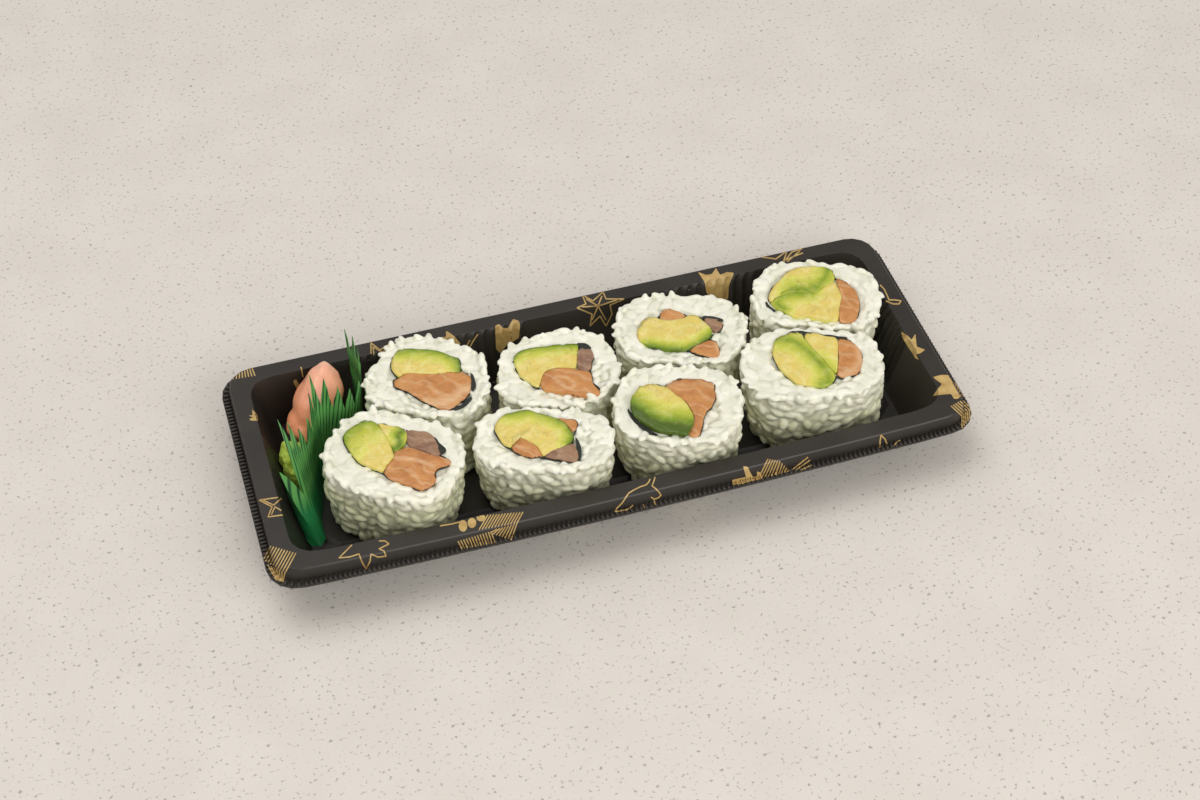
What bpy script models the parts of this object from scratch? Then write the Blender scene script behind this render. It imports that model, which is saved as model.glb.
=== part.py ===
"""Takeaway sushi tray: a thermoformed tray with eight inside-out rolls, a grass divider, ginger and wasabi.

The origin is on the ground under the middle of the tray's outline. X runs along the tray, Y from its front to
its back, Z up. Dimensions are in millimetres and become metres where the meshes are made. They are measured from
the middle of the rim, which lies a little behind the origin because the front of the tray bows out.
"""
import math
import random

import bmesh
import bpy
from mathutils import Vector

MM = 0.001
GAP = 0.3

# Tray
FLANGE_HALF_X = 106.8
FLANGE_HALF_Y = 43.2
FLANGE_Z = 20.0
FLANGE_CORNER = 7.5
FLANGE_WIDTH = 5.7
FRONT_BOW = 1.6
RIM_MIDDLE_Y = FRONT_BOW / 2.0
SHEET = 0.55
LIP_REACH = 2.8
LIP_Z = 15.6
WALL_DRAFT = 5.6
FOOT_BULGE = 2.4
FOOT_START = 74.0
FOOT_RAMP = 8.0
FLOOR_Z = 0.6
PLATFORM_HALF_X = 91.5
PLATFORM_HALF_Y = 20.5
PLATFORM_CORNER = 6.0
PLATFORM_RISE = 1.2
FLUTE_PITCH = 3.2
FLUTE_DEPTH = 0.9
LONG_FLUTES = ((-66.0, -12.0), (27.0, 66.0))
SHORT_FLUTES = ((-8.0, 13.0),)

# Rolls
ROLL_FLOOR = FLOOR_Z + PLATFORM_RISE + GAP
ROLL_POINTS = 32
SEAWEED_POINTS = 26
FILLING_POINTS = 14
RICE_BUMP = 0.9
ROLL_TAPER = 1.8
FOOT_NARROWING = 0.14
PRESSED_INSET = 0.3
THINNEST_RICE = 0.9
SEAWEED_THICK = 0.45
SQUARENESS = 2.5

# Each roll: middle x and y of its top face, the two half widths, turn in degrees, height, tilt of the top
# face along x and y, and how far its foot lies from below the top face along x and y.
ROLLS = {
    "front1": ((-64.8, -14.6), (23.0, 18.8), -38, 27.0, (0.00, 0.02), (-1.5, 3.8)),
    "back1": ((-47.2, 14.2), (20.2, 18.6), -40, 26.0, (0.00, 0.00), (0.5, -1.0)),
    "front2": ((-21.4, -21.2), (21.6, 14.8), -20, 26.5, (0.00, 0.00), (0.8, 4.4)),
    "back2": ((-10.0, 6.0), (19.8, 18.0), 8, 25.8, (0.00, 0.00), (0.0, 0.0)),
    "front3": ((20.4, -20.0), (20.8, 17.8), -25, 26.8, (0.00, 0.00), (1.6, 5.0)),
    "back3": ((31.2, 11.6), (21.6, 17.0), -20, 26.0, (0.00, 0.00), (0.0, 0.0)),
    "front4": ((64.6, -15.8), (22.8, 17.2), -8, 27.2, (0.00, 0.00), (2.2, 2.0)),
    "back4": ((77.2, 12.4), (21.0, 17.2), -24, 26.4, (0.00, 0.00), (-2.0, -0.5)),
}

# The filled hole of each roll: middle, half widths, turn.
HOLES = {
    "front1": ((-64.3, -15.6), (17.6, 10.2), -50),
    "back1": ((-47.1, 13.3), (14.6, 10.6), -62),
    "front2": ((-21.5, -21.2), (14.8, 9.4), -33),
    "back2": ((-8.6, 4.4), (14.8, 10.6), -50),
    "front3": ((19.4, -22.0), (13.2, 11.8), 3),
    "back3": ((31.4, 9.6), (13.9, 10.2), -36),
    "front4": ((66.8, -15.4), (13.9, 11.9), -31),
    "back4": ((76.9, 12.2), (15.0, 11.8), -49),
}

# Each filling: name, middle, half widths, turn, how far its top stands above the rice.
FILLINGS = {
    "front1": (
        ("avocado", (-71.9, -10.1), (11.0, 6.6), -82, 0.6),
        ("avocado_bit", (-63.9, -8.7), (5.2, 3.4), -71, 0.2),
        ("salmon_dark", (-56.6, -13.3), (6.2, 3.6), -55, -0.4),
        ("salmon", (-60.8, -23.0), (9.6, 7.8), -35, 0.4),
    ),
    "back1": (
        ("avocado", (-48.2, 20.3), (11.6, 6.4), -19, 0.3),
        ("salmon", (-47.7, 9.0), (11.2, 7.6), -22, 0.0),
    ),
    "front2": (
        ("avocado", (-23.9, -18.9), (12.2, 7.7), -34, 0.5),
        ("salmon", (-27.9, -25.0), (6.0, 3.0), -43, -0.3),
        ("salmon_dark", (-16.2, -29.4), (4.6, 3.2), -6, -0.4),
        ("salmon_tip", (-12.4, -19.4), (3.4, 2.2), -41, -0.5),
    ),
    "back2": (
        ("avocado", (-12.1, 9.6), (11.6, 7.0), 11, 0.3),
        ("salmon", (-7.6, -1.6), (10.0, 6.2), -36, 0.4),
        ("salmon_dark", (-0.5, 6.5), (5.6, 3.0), 79, -0.4),
    ),
    "front3": (
        ("avocado", (15.0, -22.3), (12.4, 7.6), -69, 1.6),
        ("salmon", (26.3, -21.1), (12.0, 6.6), 79, 0.0),
    ),
    "back3": (
        ("avocado", (29.2, 9.5), (12.4, 8.0), -16, 0.6),
        ("salmon_top", (30.9, 17.2), (4.8, 3.0), -14, -0.2),
        ("salmon", (36.5, -0.6), (4.6, 3.6), -14, -0.3),
        ("salmon_dark", (40.6, 9.6), (3.6, 2.4), -60, -0.6),
    ),
    "front4": (
        ("avocado", (61.9, -15.9), (13.2, 7.4), -75, 0.5),
        ("avocado_second", (71.1, -12.8), (9.4, 4.6), -90, 0.3),
        ("salmon", (76.8, -17.9), (8.4, 4.2), 74, 0.0),
    ),
    "back4": (
        ("avocado", (73.7, 18.5), (12.2, 5.4), 25, 0.4),
        ("avocado_second", (76.9, 9.3), (11.6, 7.8), 36, 0.5),
        ("salmon", (85.6, 5.3), (9.8, 4.4), 72, 0.0),
    ),
}

# Divider: its foot on the tray and the tips of its blades, from the front wall to the back wall.
DIVIDER_THICK = 0.35
DIVIDER_FOOT_Z = 2.2
DIVIDER_FOOT = (
    (-94.2, -19.5), (-91.6, -20.6), (-89.6, -18.0), (-89.2, -10.0), (-86.6, -1.0), (-81.0, 8.0), (-75.0, 12.4),
    (-70.5, 15.0), (-69.2, 22.0), (-69.2, 29.8),
)
DIVIDER_TIPS = (
    (-99.0, -9.8, 26.0), (-96.6, -4.0, 42.0), (-93.9, -3.8, 40.0), (-91.0, -3.0, 35.5), (-87.6, 2.2, 34.0),
    (-85.3, 9.4, 36.5), (-83.8, 14.6, 39.0), (-79.8, 14.4, 36.5), (-76.2, 11.6, 34.5), (-72.6, 12.6, 31.5),
    (-69.2, 15.4, 31.0), (-67.6, 19.8, 34.5), (-67.2, 24.0, 37.5), (-67.8, 28.0, 38.0), (-69.4, 31.9, 38.0),
)
BLADE_DEPTH = 0.28
FIRST_BLADE_DEPTH = 0.52

# Ginger and wasabi
GINGER_MIDDLE = (-82.8, 23.6)
GINGER_HALF = (6.6, 9.8)
GINGER_TURN = -40.0
GINGER_HEIGHT = 19.0
GINGER_SLOPE = 0.022
WASABI_MIDDLE = (-91.6, 6.8)
WASABI_HALF = (5.6, 7.6)
WASABI_HEIGHT = 15.0


# Helpers

def clear_scene():
    for thing in list(bpy.data.objects):
        bpy.data.objects.remove(thing)


def make_material(name, colour, roughness, metallic=0.0):
    material = bpy.data.materials.new(name)
    material.use_nodes = True
    shader = material.node_tree.nodes["Principled BSDF"]
    shader.inputs["Base Color"].default_value = (*colour, 1.0)
    shader.inputs["Roughness"].default_value = roughness
    shader.inputs["Metallic"].default_value = metallic
    material.diffuse_color = (*colour, 1.0)
    return material


def make_object(name, vertices, faces, material, origin=(0.0, 0.0, 0.0), smooth_degrees=40.0):
    """Builds a node from points in millimetres, with its origin at its own middle on its footing."""
    start = Vector(origin)
    mesh = bpy.data.meshes.new(name)
    mesh.from_pydata([(Vector(v) - start) * MM for v in vertices], [], faces)
    work = bmesh.new()
    work.from_mesh(mesh)
    bmesh.ops.triangulate(work, faces=work.faces)
    bmesh.ops.recalc_face_normals(work, faces=work.faces)
    work.to_mesh(mesh)
    work.free()
    mesh.shade_smooth()
    mesh.set_sharp_from_angle(angle=math.radians(smooth_degrees))
    mesh.materials.append(material)
    thing = bpy.data.objects.new(name, mesh)
    thing.location = (start + Vector((0.0, RIM_MIDDLE_Y, 0.0))) * MM
    bpy.context.scene.collection.objects.link(thing)
    return thing


def turned(point, degrees):
    angle = math.radians(degrees)
    x, y = point
    return (x * math.cos(angle) - y * math.sin(angle), x * math.sin(angle) + y * math.cos(angle))


def oval_value(point, middle, half, turn, grow=0.0, power=SQUARENESS):
    """Below 1 inside a squarish oval that is grown by some millimetres."""
    x, y = turned((point[0] - middle[0], point[1] - middle[1]), -turn)
    return (abs(x / (half[0] + grow)) ** power + abs(y / (half[1] + grow)) ** power) ** (1.0 / power)


def reach(middle, angle, inside, longest=60.0):
    """How far a ray from the middle runs before it leaves the region."""
    near, far = 0.0, longest
    for _ in range(30):
        half_way = 0.5 * (near + far)
        point = (middle[0] + half_way * math.cos(angle), middle[1] + half_way * math.sin(angle))
        if inside(point):
            near = half_way
        else:
            far = half_way
    return near


def outline(middle, count, inside, rounds=0):
    """A closed outline round the middle, with its corners rounded by averaging."""
    angles = [2.0 * math.pi * i / count for i in range(count)]
    radii = [reach(middle, a, inside) for a in angles]
    for _ in range(rounds):
        radii = [
            min(radii[i], (radii[i - 1] + 2.0 * radii[i] + radii[(i + 1) % count]) / 4.0) for i in range(count)
        ]
    return [(middle[0] + r * math.cos(a), middle[1] + r * math.sin(a)) for a, r in zip(angles, radii)]


def region_middle(start, half, inside, steps=24):
    """The mean of the points of a grid round the start that lie inside the region."""
    found = []
    for i in range(steps + 1):
        for j in range(steps + 1):
            point = (start[0] + half * (2.0 * i / steps - 1.0), start[1] + half * (2.0 * j / steps - 1.0))
            if inside(point):
                found.append(point)
    return (sum(x for x, _ in found) / len(found), sum(y for _, y in found) / len(found))


def bridge(first, second, count):
    """Quads between two rings of the same count, given by the number of their first points."""
    return [(first + i, first + (i + 1) % count, second + (i + 1) % count, second + i) for i in range(count)]


def smooth_step(value):
    value = min(1.0, max(0.0, value))
    return value * value * (3.0 - 2.0 * value)


# Tray

def long_stations(flutes):
    """Places along a long side, as x, with how far each stands in as a flute."""
    places = {x: 0.0 for x in (-90.0, -66.0, -40.0, -20.0, 0.0, 20.0, 40.0, 66.0, 90.0)}
    return add_flutes(places, flutes)


def short_stations(flutes):
    places = {y: 0.0 for y in (-27.0, -9.0, 9.0, 27.0)}
    return add_flutes(places, flutes)


def add_flutes(places, flutes):
    for start, end in flutes:
        places = {p: d for p, d in places.items() if p < start - 2.0 or p > end + 2.0}
        count = 2 * round((end - start) / FLUTE_PITCH)
        for i in range(count + 1):
            places[start + (end - start) * i / count] = float(i % 2)
    return sorted(places.items())


def tray_ring(half_x, half_y, corner, z, flutes=None, bow=1.0, feet=0.0, corner_steps=5):
    """One ring of the tray, counter-clockwise from the front left, as (station, point) pairs.

    The depth of its flutes is given in millimetres, and a ring without them has plain sides.
    """
    depth = flutes or 0.0
    long_side = long_stations(() if flutes is None else LONG_FLUTES)
    short_side = short_stations(() if flutes is None else SHORT_FLUTES)
    reach_x = half_x - corner
    reach_y = half_y - corner
    stretch_x = min(1.0, (reach_x - 1.0) / 90.0)
    stretch_y = min(1.0, (reach_y - 1.0) / 27.0)

    def foot(x):
        return feet * (smooth_step((abs(x) - FOOT_START) / FOOT_RAMP) - 1.0)

    def front_bow(x):
        return bow * FRONT_BOW * (1.0 - (x / FLANGE_HALF_X) ** 2)

    points = []
    for x, stands_in in long_side:
        x = x * stretch_x
        points.append((1.0 + x / 400.0, (x, -(half_y + foot(x) + front_bow(x) - depth * stands_in), z)))
    points += corner_points(2.0, reach_x, -reach_y, corner, -90.0, z, corner_steps)
    for y, stands_in in short_side:
        y = y * stretch_y
        points.append((3.0 + y / 400.0, (half_x - depth * stands_in, y, z)))
    points += corner_points(4.0, reach_x, reach_y, corner, 0.0, z, corner_steps)
    for x, stands_in in reversed(long_side):
        x = x * stretch_x
        points.append((5.0 - x / 400.0, (x, half_y + foot(x) - depth * stands_in, z)))
    points += corner_points(6.0, -reach_x, reach_y, corner, 90.0, z, corner_steps)
    for y, stands_in in reversed(short_side):
        y = y * stretch_y
        points.append((7.0 - y / 400.0, (-half_x + depth * stands_in, y, z)))
    points += corner_points(8.0, -reach_x, -reach_y, corner, 180.0, z, corner_steps)
    return points


def corner_points(station, x, y, radius, start_degrees, z, steps):
    points = []
    for i in range(steps):
        share = i / (steps - 1)
        angle = math.radians(start_degrees + 90.0 * share)
        place = (x + radius * math.cos(angle), y + radius * math.sin(angle), z)
        points.append((station - 0.4 + 0.8 * share, place))
    return points


def stitch(ring_a, start_a, ring_b, start_b):
    """Triangles between two rings of any counts, walking both in the order of their stations."""
    faces = []
    count_a, count_b = len(ring_a), len(ring_b)
    i = j = 0
    while i < count_a or j < count_b:
        next_a = ring_a[i + 1][0] if i + 1 < count_a else 100.0 + i - count_a
        next_b = ring_b[j + 1][0] if j + 1 < count_b else 100.0 + j - count_b
        a = start_a + i % count_a
        b = start_b + j % count_b
        if j >= count_b or (i < count_a and next_a <= next_b):
            faces.append((a, start_a + (i + 1) % count_a, b))
            i += 1
        else:
            faces.append((a, start_b + (j + 1) % count_b, b))
            j += 1
    return faces


def tray_rings():
    """The tray's section from the middle of the floor over the rim to the middle of the underside."""
    inner_x = FLANGE_HALF_X - FLANGE_WIDTH
    inner_y = FLANGE_HALF_Y - FLANGE_WIDTH
    low_x = inner_x - WALL_DRAFT
    low_y = inner_y - WALL_DRAFT + FOOT_BULGE
    corner = FLANGE_CORNER
    platform = (PLATFORM_HALF_X, PLATFORM_HALF_Y)
    top = [
        tray_ring(*platform, PLATFORM_CORNER, FLOOR_Z + PLATFORM_RISE, bow=0.0, corner_steps=2),
        tray_ring(platform[0] + 1.2, platform[1] + 1.2, PLATFORM_CORNER, FLOOR_Z, bow=0.0, corner_steps=2),
        tray_ring(low_x - 1.4, low_y - 1.4, corner - 2.0, FLOOR_Z, bow=0.0, feet=FOOT_BULGE),
        tray_ring(low_x, low_y, corner - 1.0, FLOOR_Z + 1.6, FLUTE_DEPTH, bow=0.1, feet=FOOT_BULGE),
        tray_ring(inner_x - 0.7, inner_y - 0.7, corner, FLANGE_Z - 2.0, FLUTE_DEPTH),
        tray_ring(inner_x, inner_y, corner, FLANGE_Z, 0.0),
        tray_ring(FLANGE_HALF_X - 0.3, FLANGE_HALF_Y - 0.3, corner, FLANGE_Z),
        tray_ring(FLANGE_HALF_X + 0.1, FLANGE_HALF_Y + 0.1, corner, FLANGE_Z - 0.5),
        tray_ring(FLANGE_HALF_X + 0.6, FLANGE_HALF_Y + 0.6, corner, LIP_Z),
        tray_ring(FLANGE_HALF_X + LIP_REACH, FLANGE_HALF_Y + LIP_REACH, corner + 2.0, LIP_Z),
    ]
    under = [
        tray_ring(FLANGE_HALF_X + LIP_REACH, FLANGE_HALF_Y + LIP_REACH, corner + 2.0, LIP_Z - SHEET),
        tray_ring(FLANGE_HALF_X, FLANGE_HALF_Y, corner, LIP_Z - SHEET),
        tray_ring(FLANGE_HALF_X - 0.5, FLANGE_HALF_Y - 0.5, corner, FLANGE_Z - SHEET),
        tray_ring(inner_x + SHEET, inner_y + SHEET, corner, FLANGE_Z - SHEET),
        tray_ring(inner_x - 0.7 + SHEET, inner_y - 0.7 + SHEET, corner, FLANGE_Z - 2.0, FLUTE_DEPTH),
        tray_ring(low_x + SHEET, low_y + SHEET, corner - 1.0, FLOOR_Z + 1.4, FLUTE_DEPTH, bow=0.1,
                  feet=FOOT_BULGE),
        tray_ring(low_x - 1.2, low_y - 1.2, corner - 2.0, FLOOR_Z - SHEET, bow=0.0, feet=FOOT_BULGE),
        tray_ring(platform[0] + 0.7, platform[1] + 0.7, PLATFORM_CORNER, FLOOR_Z - SHEET, bow=0.0, corner_steps=2),
        tray_ring(platform[0] - 0.5, platform[1] - 0.5, PLATFORM_CORNER, FLOOR_Z + PLATFORM_RISE - SHEET,
                  bow=0.0, corner_steps=2),
    ]
    return top + under


def make_tray(material):
    rings = tray_rings()
    vertices, faces, starts = [], [], []
    for ring in rings:
        starts.append(len(vertices))
        vertices += [point for _, point in ring]
    for k in range(len(rings) - 1):
        faces += stitch(rings[k], starts[k], rings[k + 1], starts[k + 1])
    faces.append(tuple(range(starts[0], starts[1])))
    faces.append(tuple(reversed(range(starts[-1], len(vertices)))))
    lowest = min(v[2] for v in vertices)
    vertices = [(x, y, z - lowest) for x, y, z in vertices]
    return make_object("tray", vertices, faces, material, smooth_degrees=30.0)


# Rolls

def wall_inside(x, y, z):
    """How far a point lies inside the tray's walls at its height."""
    share = min(1.0, max(0.0, (FLANGE_Z - z) / FLANGE_Z))
    clear = 1.2
    limit_x = FLANGE_HALF_X - FLANGE_WIDTH - WALL_DRAFT * share - clear
    limit_y = FLANGE_HALF_Y - FLANGE_WIDTH - (WALL_DRAFT + 1.0) * share - clear
    if z > FLANGE_Z:
        limit_x += 0.6 * (z - FLANGE_Z)
        limit_y += 0.6 * (z - FLANGE_Z)
    return min(limit_x - abs(x), limit_y - abs(y))


def wall_left(z):
    """How far left a heap may reach at a height, clear of the flutes of the left wall."""
    share = min(1.0, max(0.0, (FLANGE_Z - z) / FLANGE_Z))
    return WALL_DRAFT * share + FLUTE_DEPTH + 2.0 * GAP + FLANGE_WIDTH - FLANGE_HALF_X


def between(name, share):
    """Half planes that part a roll from each other roll: a direction and how far it may reach.

    Towards the footing they follow the mean lean of the two rolls.
    """
    middle, half, turn, _, _, foot = ROLLS[name]
    planes = []
    for other, (place, size, other_turn, _, _, other_foot) in ROLLS.items():
        away = (place[0] - middle[0], place[1] - middle[1])
        distance = math.hypot(*away)
        if other == name or distance > 60.0:
            continue
        angle = math.atan2(away[1], away[0])
        own = reach(middle, angle, lambda p: oval_value(p, middle, half, turn) < 1.0)
        its = reach(place, angle + math.pi, lambda p: oval_value(p, place, size, other_turn) < 1.0)
        lean = (1.0 - share) * 0.5 * ((foot[0] + other_foot[0]) * away[0] + (foot[1] + other_foot[1]) * away[1])
        planes.append((angle, distance * own / (own + its) + lean / distance - GAP))
    return planes


def leaned(name, point, share):
    """A point of the top face, brought down along the roll's lean to a share of its height."""
    foot = ROLLS[name][5]
    middle = HOLES[name][0]
    down = 1.0 - share
    keep = 1.0 - FOOT_NARROWING * down
    return (middle[0] + (point[0] - middle[0]) * keep + foot[0] * down,
            middle[1] + (point[1] - middle[1]) * keep + foot[1] * down)


def roll_outline(name, share, inset):
    middle, half, turn, height = ROLLS[name][:4]
    centre = leaned(name, HOLES[name][0], share)
    shape_middle = leaned(name, middle, share)
    planes = between(name, share)

    def inside(point):
        if oval_value(point, shape_middle, half, turn, -inset - ROLL_TAPER * (1.0 - share), 3.0) > 1.0:
            return False
        if wall_inside(point[0], point[1], ROLL_FLOOR + share * height) < inset:
            return False
        dx, dy = point[0] - middle[0], point[1] - middle[1]
        return all(dx * math.cos(a) + dy * math.sin(a) < d - PRESSED_INSET * inset for a, d in planes)

    return outline(centre, ROLL_POINTS, inside, rounds=2)


def hole_outline(name, count, inset, share=1.0):
    middle, half, turn = HOLES[name]
    ring = outline(middle, count, lambda p: oval_value(p, middle, half, turn, -inset) < 1.0)
    return [leaned(name, point, share) for point in ring]


def top_z(name, x, y, share=1.0):
    """Height in a roll, from its footing at share 0 to its tilted top face at share 1."""
    middle, height, tilt = ROLLS[name][0], ROLLS[name][3], ROLLS[name][4]
    tilted = height + tilt[0] * (x - middle[0]) + tilt[1] * (y - middle[1])
    return ROLL_FLOOR + share * tilted


def make_rice(name, material, salt):
    rng = random.Random(salt)
    # Share of the height and inset of each ring up the outside, then over the top face into the hole.
    outside = ((0.0, 1.8), (0.07, 0.7), (0.23, 0.3), (0.40, 0.0), (0.57, 0.0), (0.74, 0.0), (0.91, 0.3), (1.0, 1.2))
    vertices = []
    for share, inset in outside:
        ring = roll_outline(name, share, inset)
        hole = hole_outline(name, ROLL_POINTS, 0.0, share)
        centre = leaned(name, HOLES[name][0], share)
        for (x, y), hole_point in zip(ring, hole):
            dent = RICE_BUMP * rng.random() * (0.4 if share in (0.0, 1.0) else 1.0)
            away = math.dist((x, y), centre)
            dent = min(dent, away - math.dist(hole_point, centre) - THINNEST_RICE)
            pull = dent / away
            x += (centre[0] - x) * pull
            y += (centre[1] - y) * pull
            lift = 0.0 if share == 0.0 else 0.35 * (rng.random() - 0.5)
            vertices.append((x, y, top_z(name, x, y, share) + lift))
    rim = roll_outline(name, 1.0, 1.2)
    hole = hole_outline(name, ROLL_POINTS, 0.0)
    for (ax, ay), (bx, by) in zip(rim, hole):
        share = 0.45 + 0.2 * (rng.random() - 0.5)
        x, y = ax + (bx - ax) * share, ay + (by - ay) * share
        vertices.append((x, y, top_z(name, x, y) + 0.5 * rng.random()))
    for x, y in hole:
        vertices.append((x, y, top_z(name, x, y) - 0.4 * rng.random()))
    for x, y in hole_outline(name, ROLL_POINTS, 0.0, 0.0):
        vertices.append((x, y, ROLL_FLOOR))
    rings = len(vertices) // ROLL_POINTS
    faces = []
    for k in range(rings):
        faces += bridge(k * ROLL_POINTS, (k + 1) % rings * ROLL_POINTS, ROLL_POINTS)
    origin = (*HOLES[name][0], ROLL_FLOOR)
    return make_object("rice_" + name, vertices, faces, material, origin, smooth_degrees=80.0)


def make_seaweed(name, material):
    outer = GAP + 0.25
    inner = outer + SEAWEED_THICK
    vertices = []
    for inset, share in ((outer, 0.0), (outer, 1.0), (inner, 1.0), (inner, 0.0)):
        for x, y in hole_outline(name, SEAWEED_POINTS, inset, share):
            z = top_z(name, x, y, share) - (0.3 if share else 0.0)
            vertices.append((x, y, z))
    faces = []
    for k in range(4):
        faces += bridge(k * SEAWEED_POINTS, (k + 1) % 4 * SEAWEED_POINTS, SEAWEED_POINTS)
    origin = (*HOLES[name][0], ROLL_FLOOR)
    return make_object("seaweed_" + name, vertices, faces, material, origin)


def filling_inside(name, index):
    """The region of one filling: its own oval, inside the seaweed, parted from the other fillings."""
    _, middle, half, turn, _ = FILLINGS[name][index]
    hole_middle, hole_half, hole_turn = HOLES[name]
    inset = 2.0 * GAP + 0.25 + SEAWEED_THICK
    planes = []
    for k, (_, place, size, other_turn, _) in enumerate(FILLINGS[name]):
        if k == index:
            continue
        away = (place[0] - middle[0], place[1] - middle[1])
        angle = math.atan2(away[1], away[0])
        own = reach(middle, angle, lambda p: oval_value(p, middle, half, turn) < 1.0)
        its = reach(place, angle + math.pi, lambda p: oval_value(p, place, size, other_turn) < 1.0)
        planes.append((angle, math.hypot(*away) * own / (own + its) - 0.5 * GAP))

    def inside(point):
        if oval_value(point, middle, half, turn, 0.8) > 1.0:
            return False
        if oval_value(point, hole_middle, hole_half, hole_turn, -inset) > 1.0:
            return False
        dx, dy = point[0] - middle[0], point[1] - middle[1]
        return all(dx * math.cos(a) + dy * math.sin(a) < d for a, d in planes)

    return region_middle(middle, max(half) + 1.0, inside), inside


def make_filling(name, index, materials):
    kind, _, _, _, proud = FILLINGS[name][index]
    middle, inside = filling_inside(name, index)
    ring = outline(middle, FILLING_POINTS, inside)
    vertices = []
    for inset, share in ((0.0, 0.0), (0.0, 1.0), (0.75, 1.0)):
        for x, y in ring:
            length = math.hypot(x - middle[0], y - middle[1])
            pull = inset / max(length, inset + 0.4)
            x += (middle[0] - x) * pull
            y += (middle[1] - y) * pull
            z = top_z(name, x, y, share)
            if share:
                z += proud - (0.0 if inset else 0.8)
            height = (z - ROLL_FLOOR) / (top_z(name, x, y) - ROLL_FLOOR)
            vertices.append((*leaned(name, (x, y), height), z))
    crown = len(vertices)
    vertices.append((*middle, top_z(name, *middle) + proud + 0.3))
    faces = [tuple(range(FILLING_POINTS))]
    faces += bridge(0, FILLING_POINTS, FILLING_POINTS)
    faces += bridge(FILLING_POINTS, 2 * FILLING_POINTS, FILLING_POINTS)
    last = 2 * FILLING_POINTS
    faces += [(last + i, last + (i + 1) % FILLING_POINTS, crown) for i in range(FILLING_POINTS)]
    family = kind.split("_")[0]
    material = materials["salmon_dark" if kind == "salmon_dark" else family]
    return make_object(kind + "_" + name, vertices, faces, material, (*middle, ROLL_FLOOR))


# Divider

def along(path, share):
    """The point at a share of a path's length."""
    lengths = [math.dist(a, b) for a, b in zip(path, path[1:])]
    left = share * sum(lengths)
    for (a, b), length in zip(zip(path, path[1:]), lengths):
        if left <= length:
            return tuple(p + (q - p) * left / length for p, q in zip(a, b))
        left -= length
    return path[-1]


def make_divider(material):
    """A sheet between a foot line and blades: a column at each tip and one in each notch."""
    columns = []
    last = len(DIVIDER_TIPS) - 1
    for i in range(2 * last + 1):
        share = i / (2 * last)
        foot = (*along(DIVIDER_FOOT, share), DIVIDER_FOOT_Z)
        if i % 2 == 0:
            top = DIVIDER_TIPS[i // 2]
        else:
            left, right = Vector(DIVIDER_TIPS[i // 2]), Vector(DIVIDER_TIPS[i // 2 + 1])
            depth = FIRST_BLADE_DEPTH if i == 1 else BLADE_DEPTH
            top = tuple(Vector(foot).lerp((left + right) / 2.0, 1.0 - depth))
        columns.append((Vector(foot), Vector(top)))
    levels = (0.0, 0.3, 0.6, 1.0)
    ripple = 0.35
    sheet = []
    for i, (foot, top) in enumerate(columns):
        ahead = columns[min(i + 1, len(columns) - 1)][0]
        behind = columns[max(i - 1, 0)][0]
        side = Vector((ahead.y - behind.y, behind.x - ahead.x, 0.0)).normalized()
        for level in levels:
            middle = foot.lerp(top, level) + side * (ripple * (1 if i % 2 else -1) * level)
            thick = DIVIDER_THICK * (1.0 if level < 1.0 else 0.6)
            sheet.append((middle + side * thick / 2.0, middle - side * thick / 2.0))
    rows = len(levels)
    vertices = [tuple(pair[0]) for pair in sheet] + [tuple(pair[1]) for pair in sheet]
    other = len(sheet)
    faces = []
    for i in range(len(columns) - 1):
        for k in range(rows - 1):
            a, b = i * rows + k, (i + 1) * rows + k
            faces.append((a, b, b + 1))
            faces.append((a, b + 1, a + 1))
            faces.append((other + a, other + b + 1, other + b))
            faces.append((other + a, other + a + 1, other + b + 1))
    edge = [i * rows for i in range(len(columns))]
    edge += [(len(columns) - 1) * rows + k for k in range(1, rows)]
    edge += [i * rows + rows - 1 for i in reversed(range(len(columns) - 1))]
    edge += [k for k in reversed(range(1, rows - 1))]
    for a, b in zip(edge, edge[1:] + edge[:1]):
        faces.append((a, other + a, other + b, b))
    return make_object("divider", vertices, faces, material, (-80.0, 5.0, DIVIDER_FOOT_Z), smooth_degrees=25.0)


# Condiments

def lump(middle, half, height, foot_z, columns, rows, shape, turn=0.0, slope=0.0):
    """A closed lump on a flat foot: rings of points whose reach is scaled by shape(angle, share)."""
    vertices = []
    for r in range(rows):
        share = r / rows
        rise = math.sin(0.5 * math.pi * share)
        wide = math.cos(0.5 * math.pi * share) ** 0.55
        for c in range(columns):
            angle = 2.0 * math.pi * c / columns
            scale = shape(angle, share)
            along_it = half[1] * wide * scale * math.sin(angle)
            x, y = turned((half[0] * wide * scale * math.cos(angle), along_it), turn)
            vertices.append((middle[0] + x, middle[1] + y, foot_z + height * rise * (1.0 + slope * along_it)))
    vertices.append((*middle, foot_z + height))
    faces = [tuple(range(columns))]
    for r in range(rows - 1):
        faces += bridge(r * columns, (r + 1) * columns, columns)
    last = (rows - 1) * columns
    faces += [(last + c, last + (c + 1) % columns, rows * columns) for c in range(columns)]
    return vertices, faces


def make_wasabi(material):
    rng = random.Random(11)
    dents = [[rng.random() for _ in range(16)] for _ in range(7)]

    def shape(angle, share):
        column = round(angle / (2.0 * math.pi) * 16) % 16
        return 1.0 - 0.09 * dents[round(share * 7)][column]

    vertices, faces = lump(WASABI_MIDDLE, WASABI_HALF, WASABI_HEIGHT, ROLL_FLOOR, 16, 7, shape)
    vertices = [(max(x, wall_left(z)), y, z) for x, y, z in vertices]
    return make_object("wasabi", vertices, faces, material, (*WASABI_MIDDLE, ROLL_FLOOR), smooth_degrees=60.0)


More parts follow.
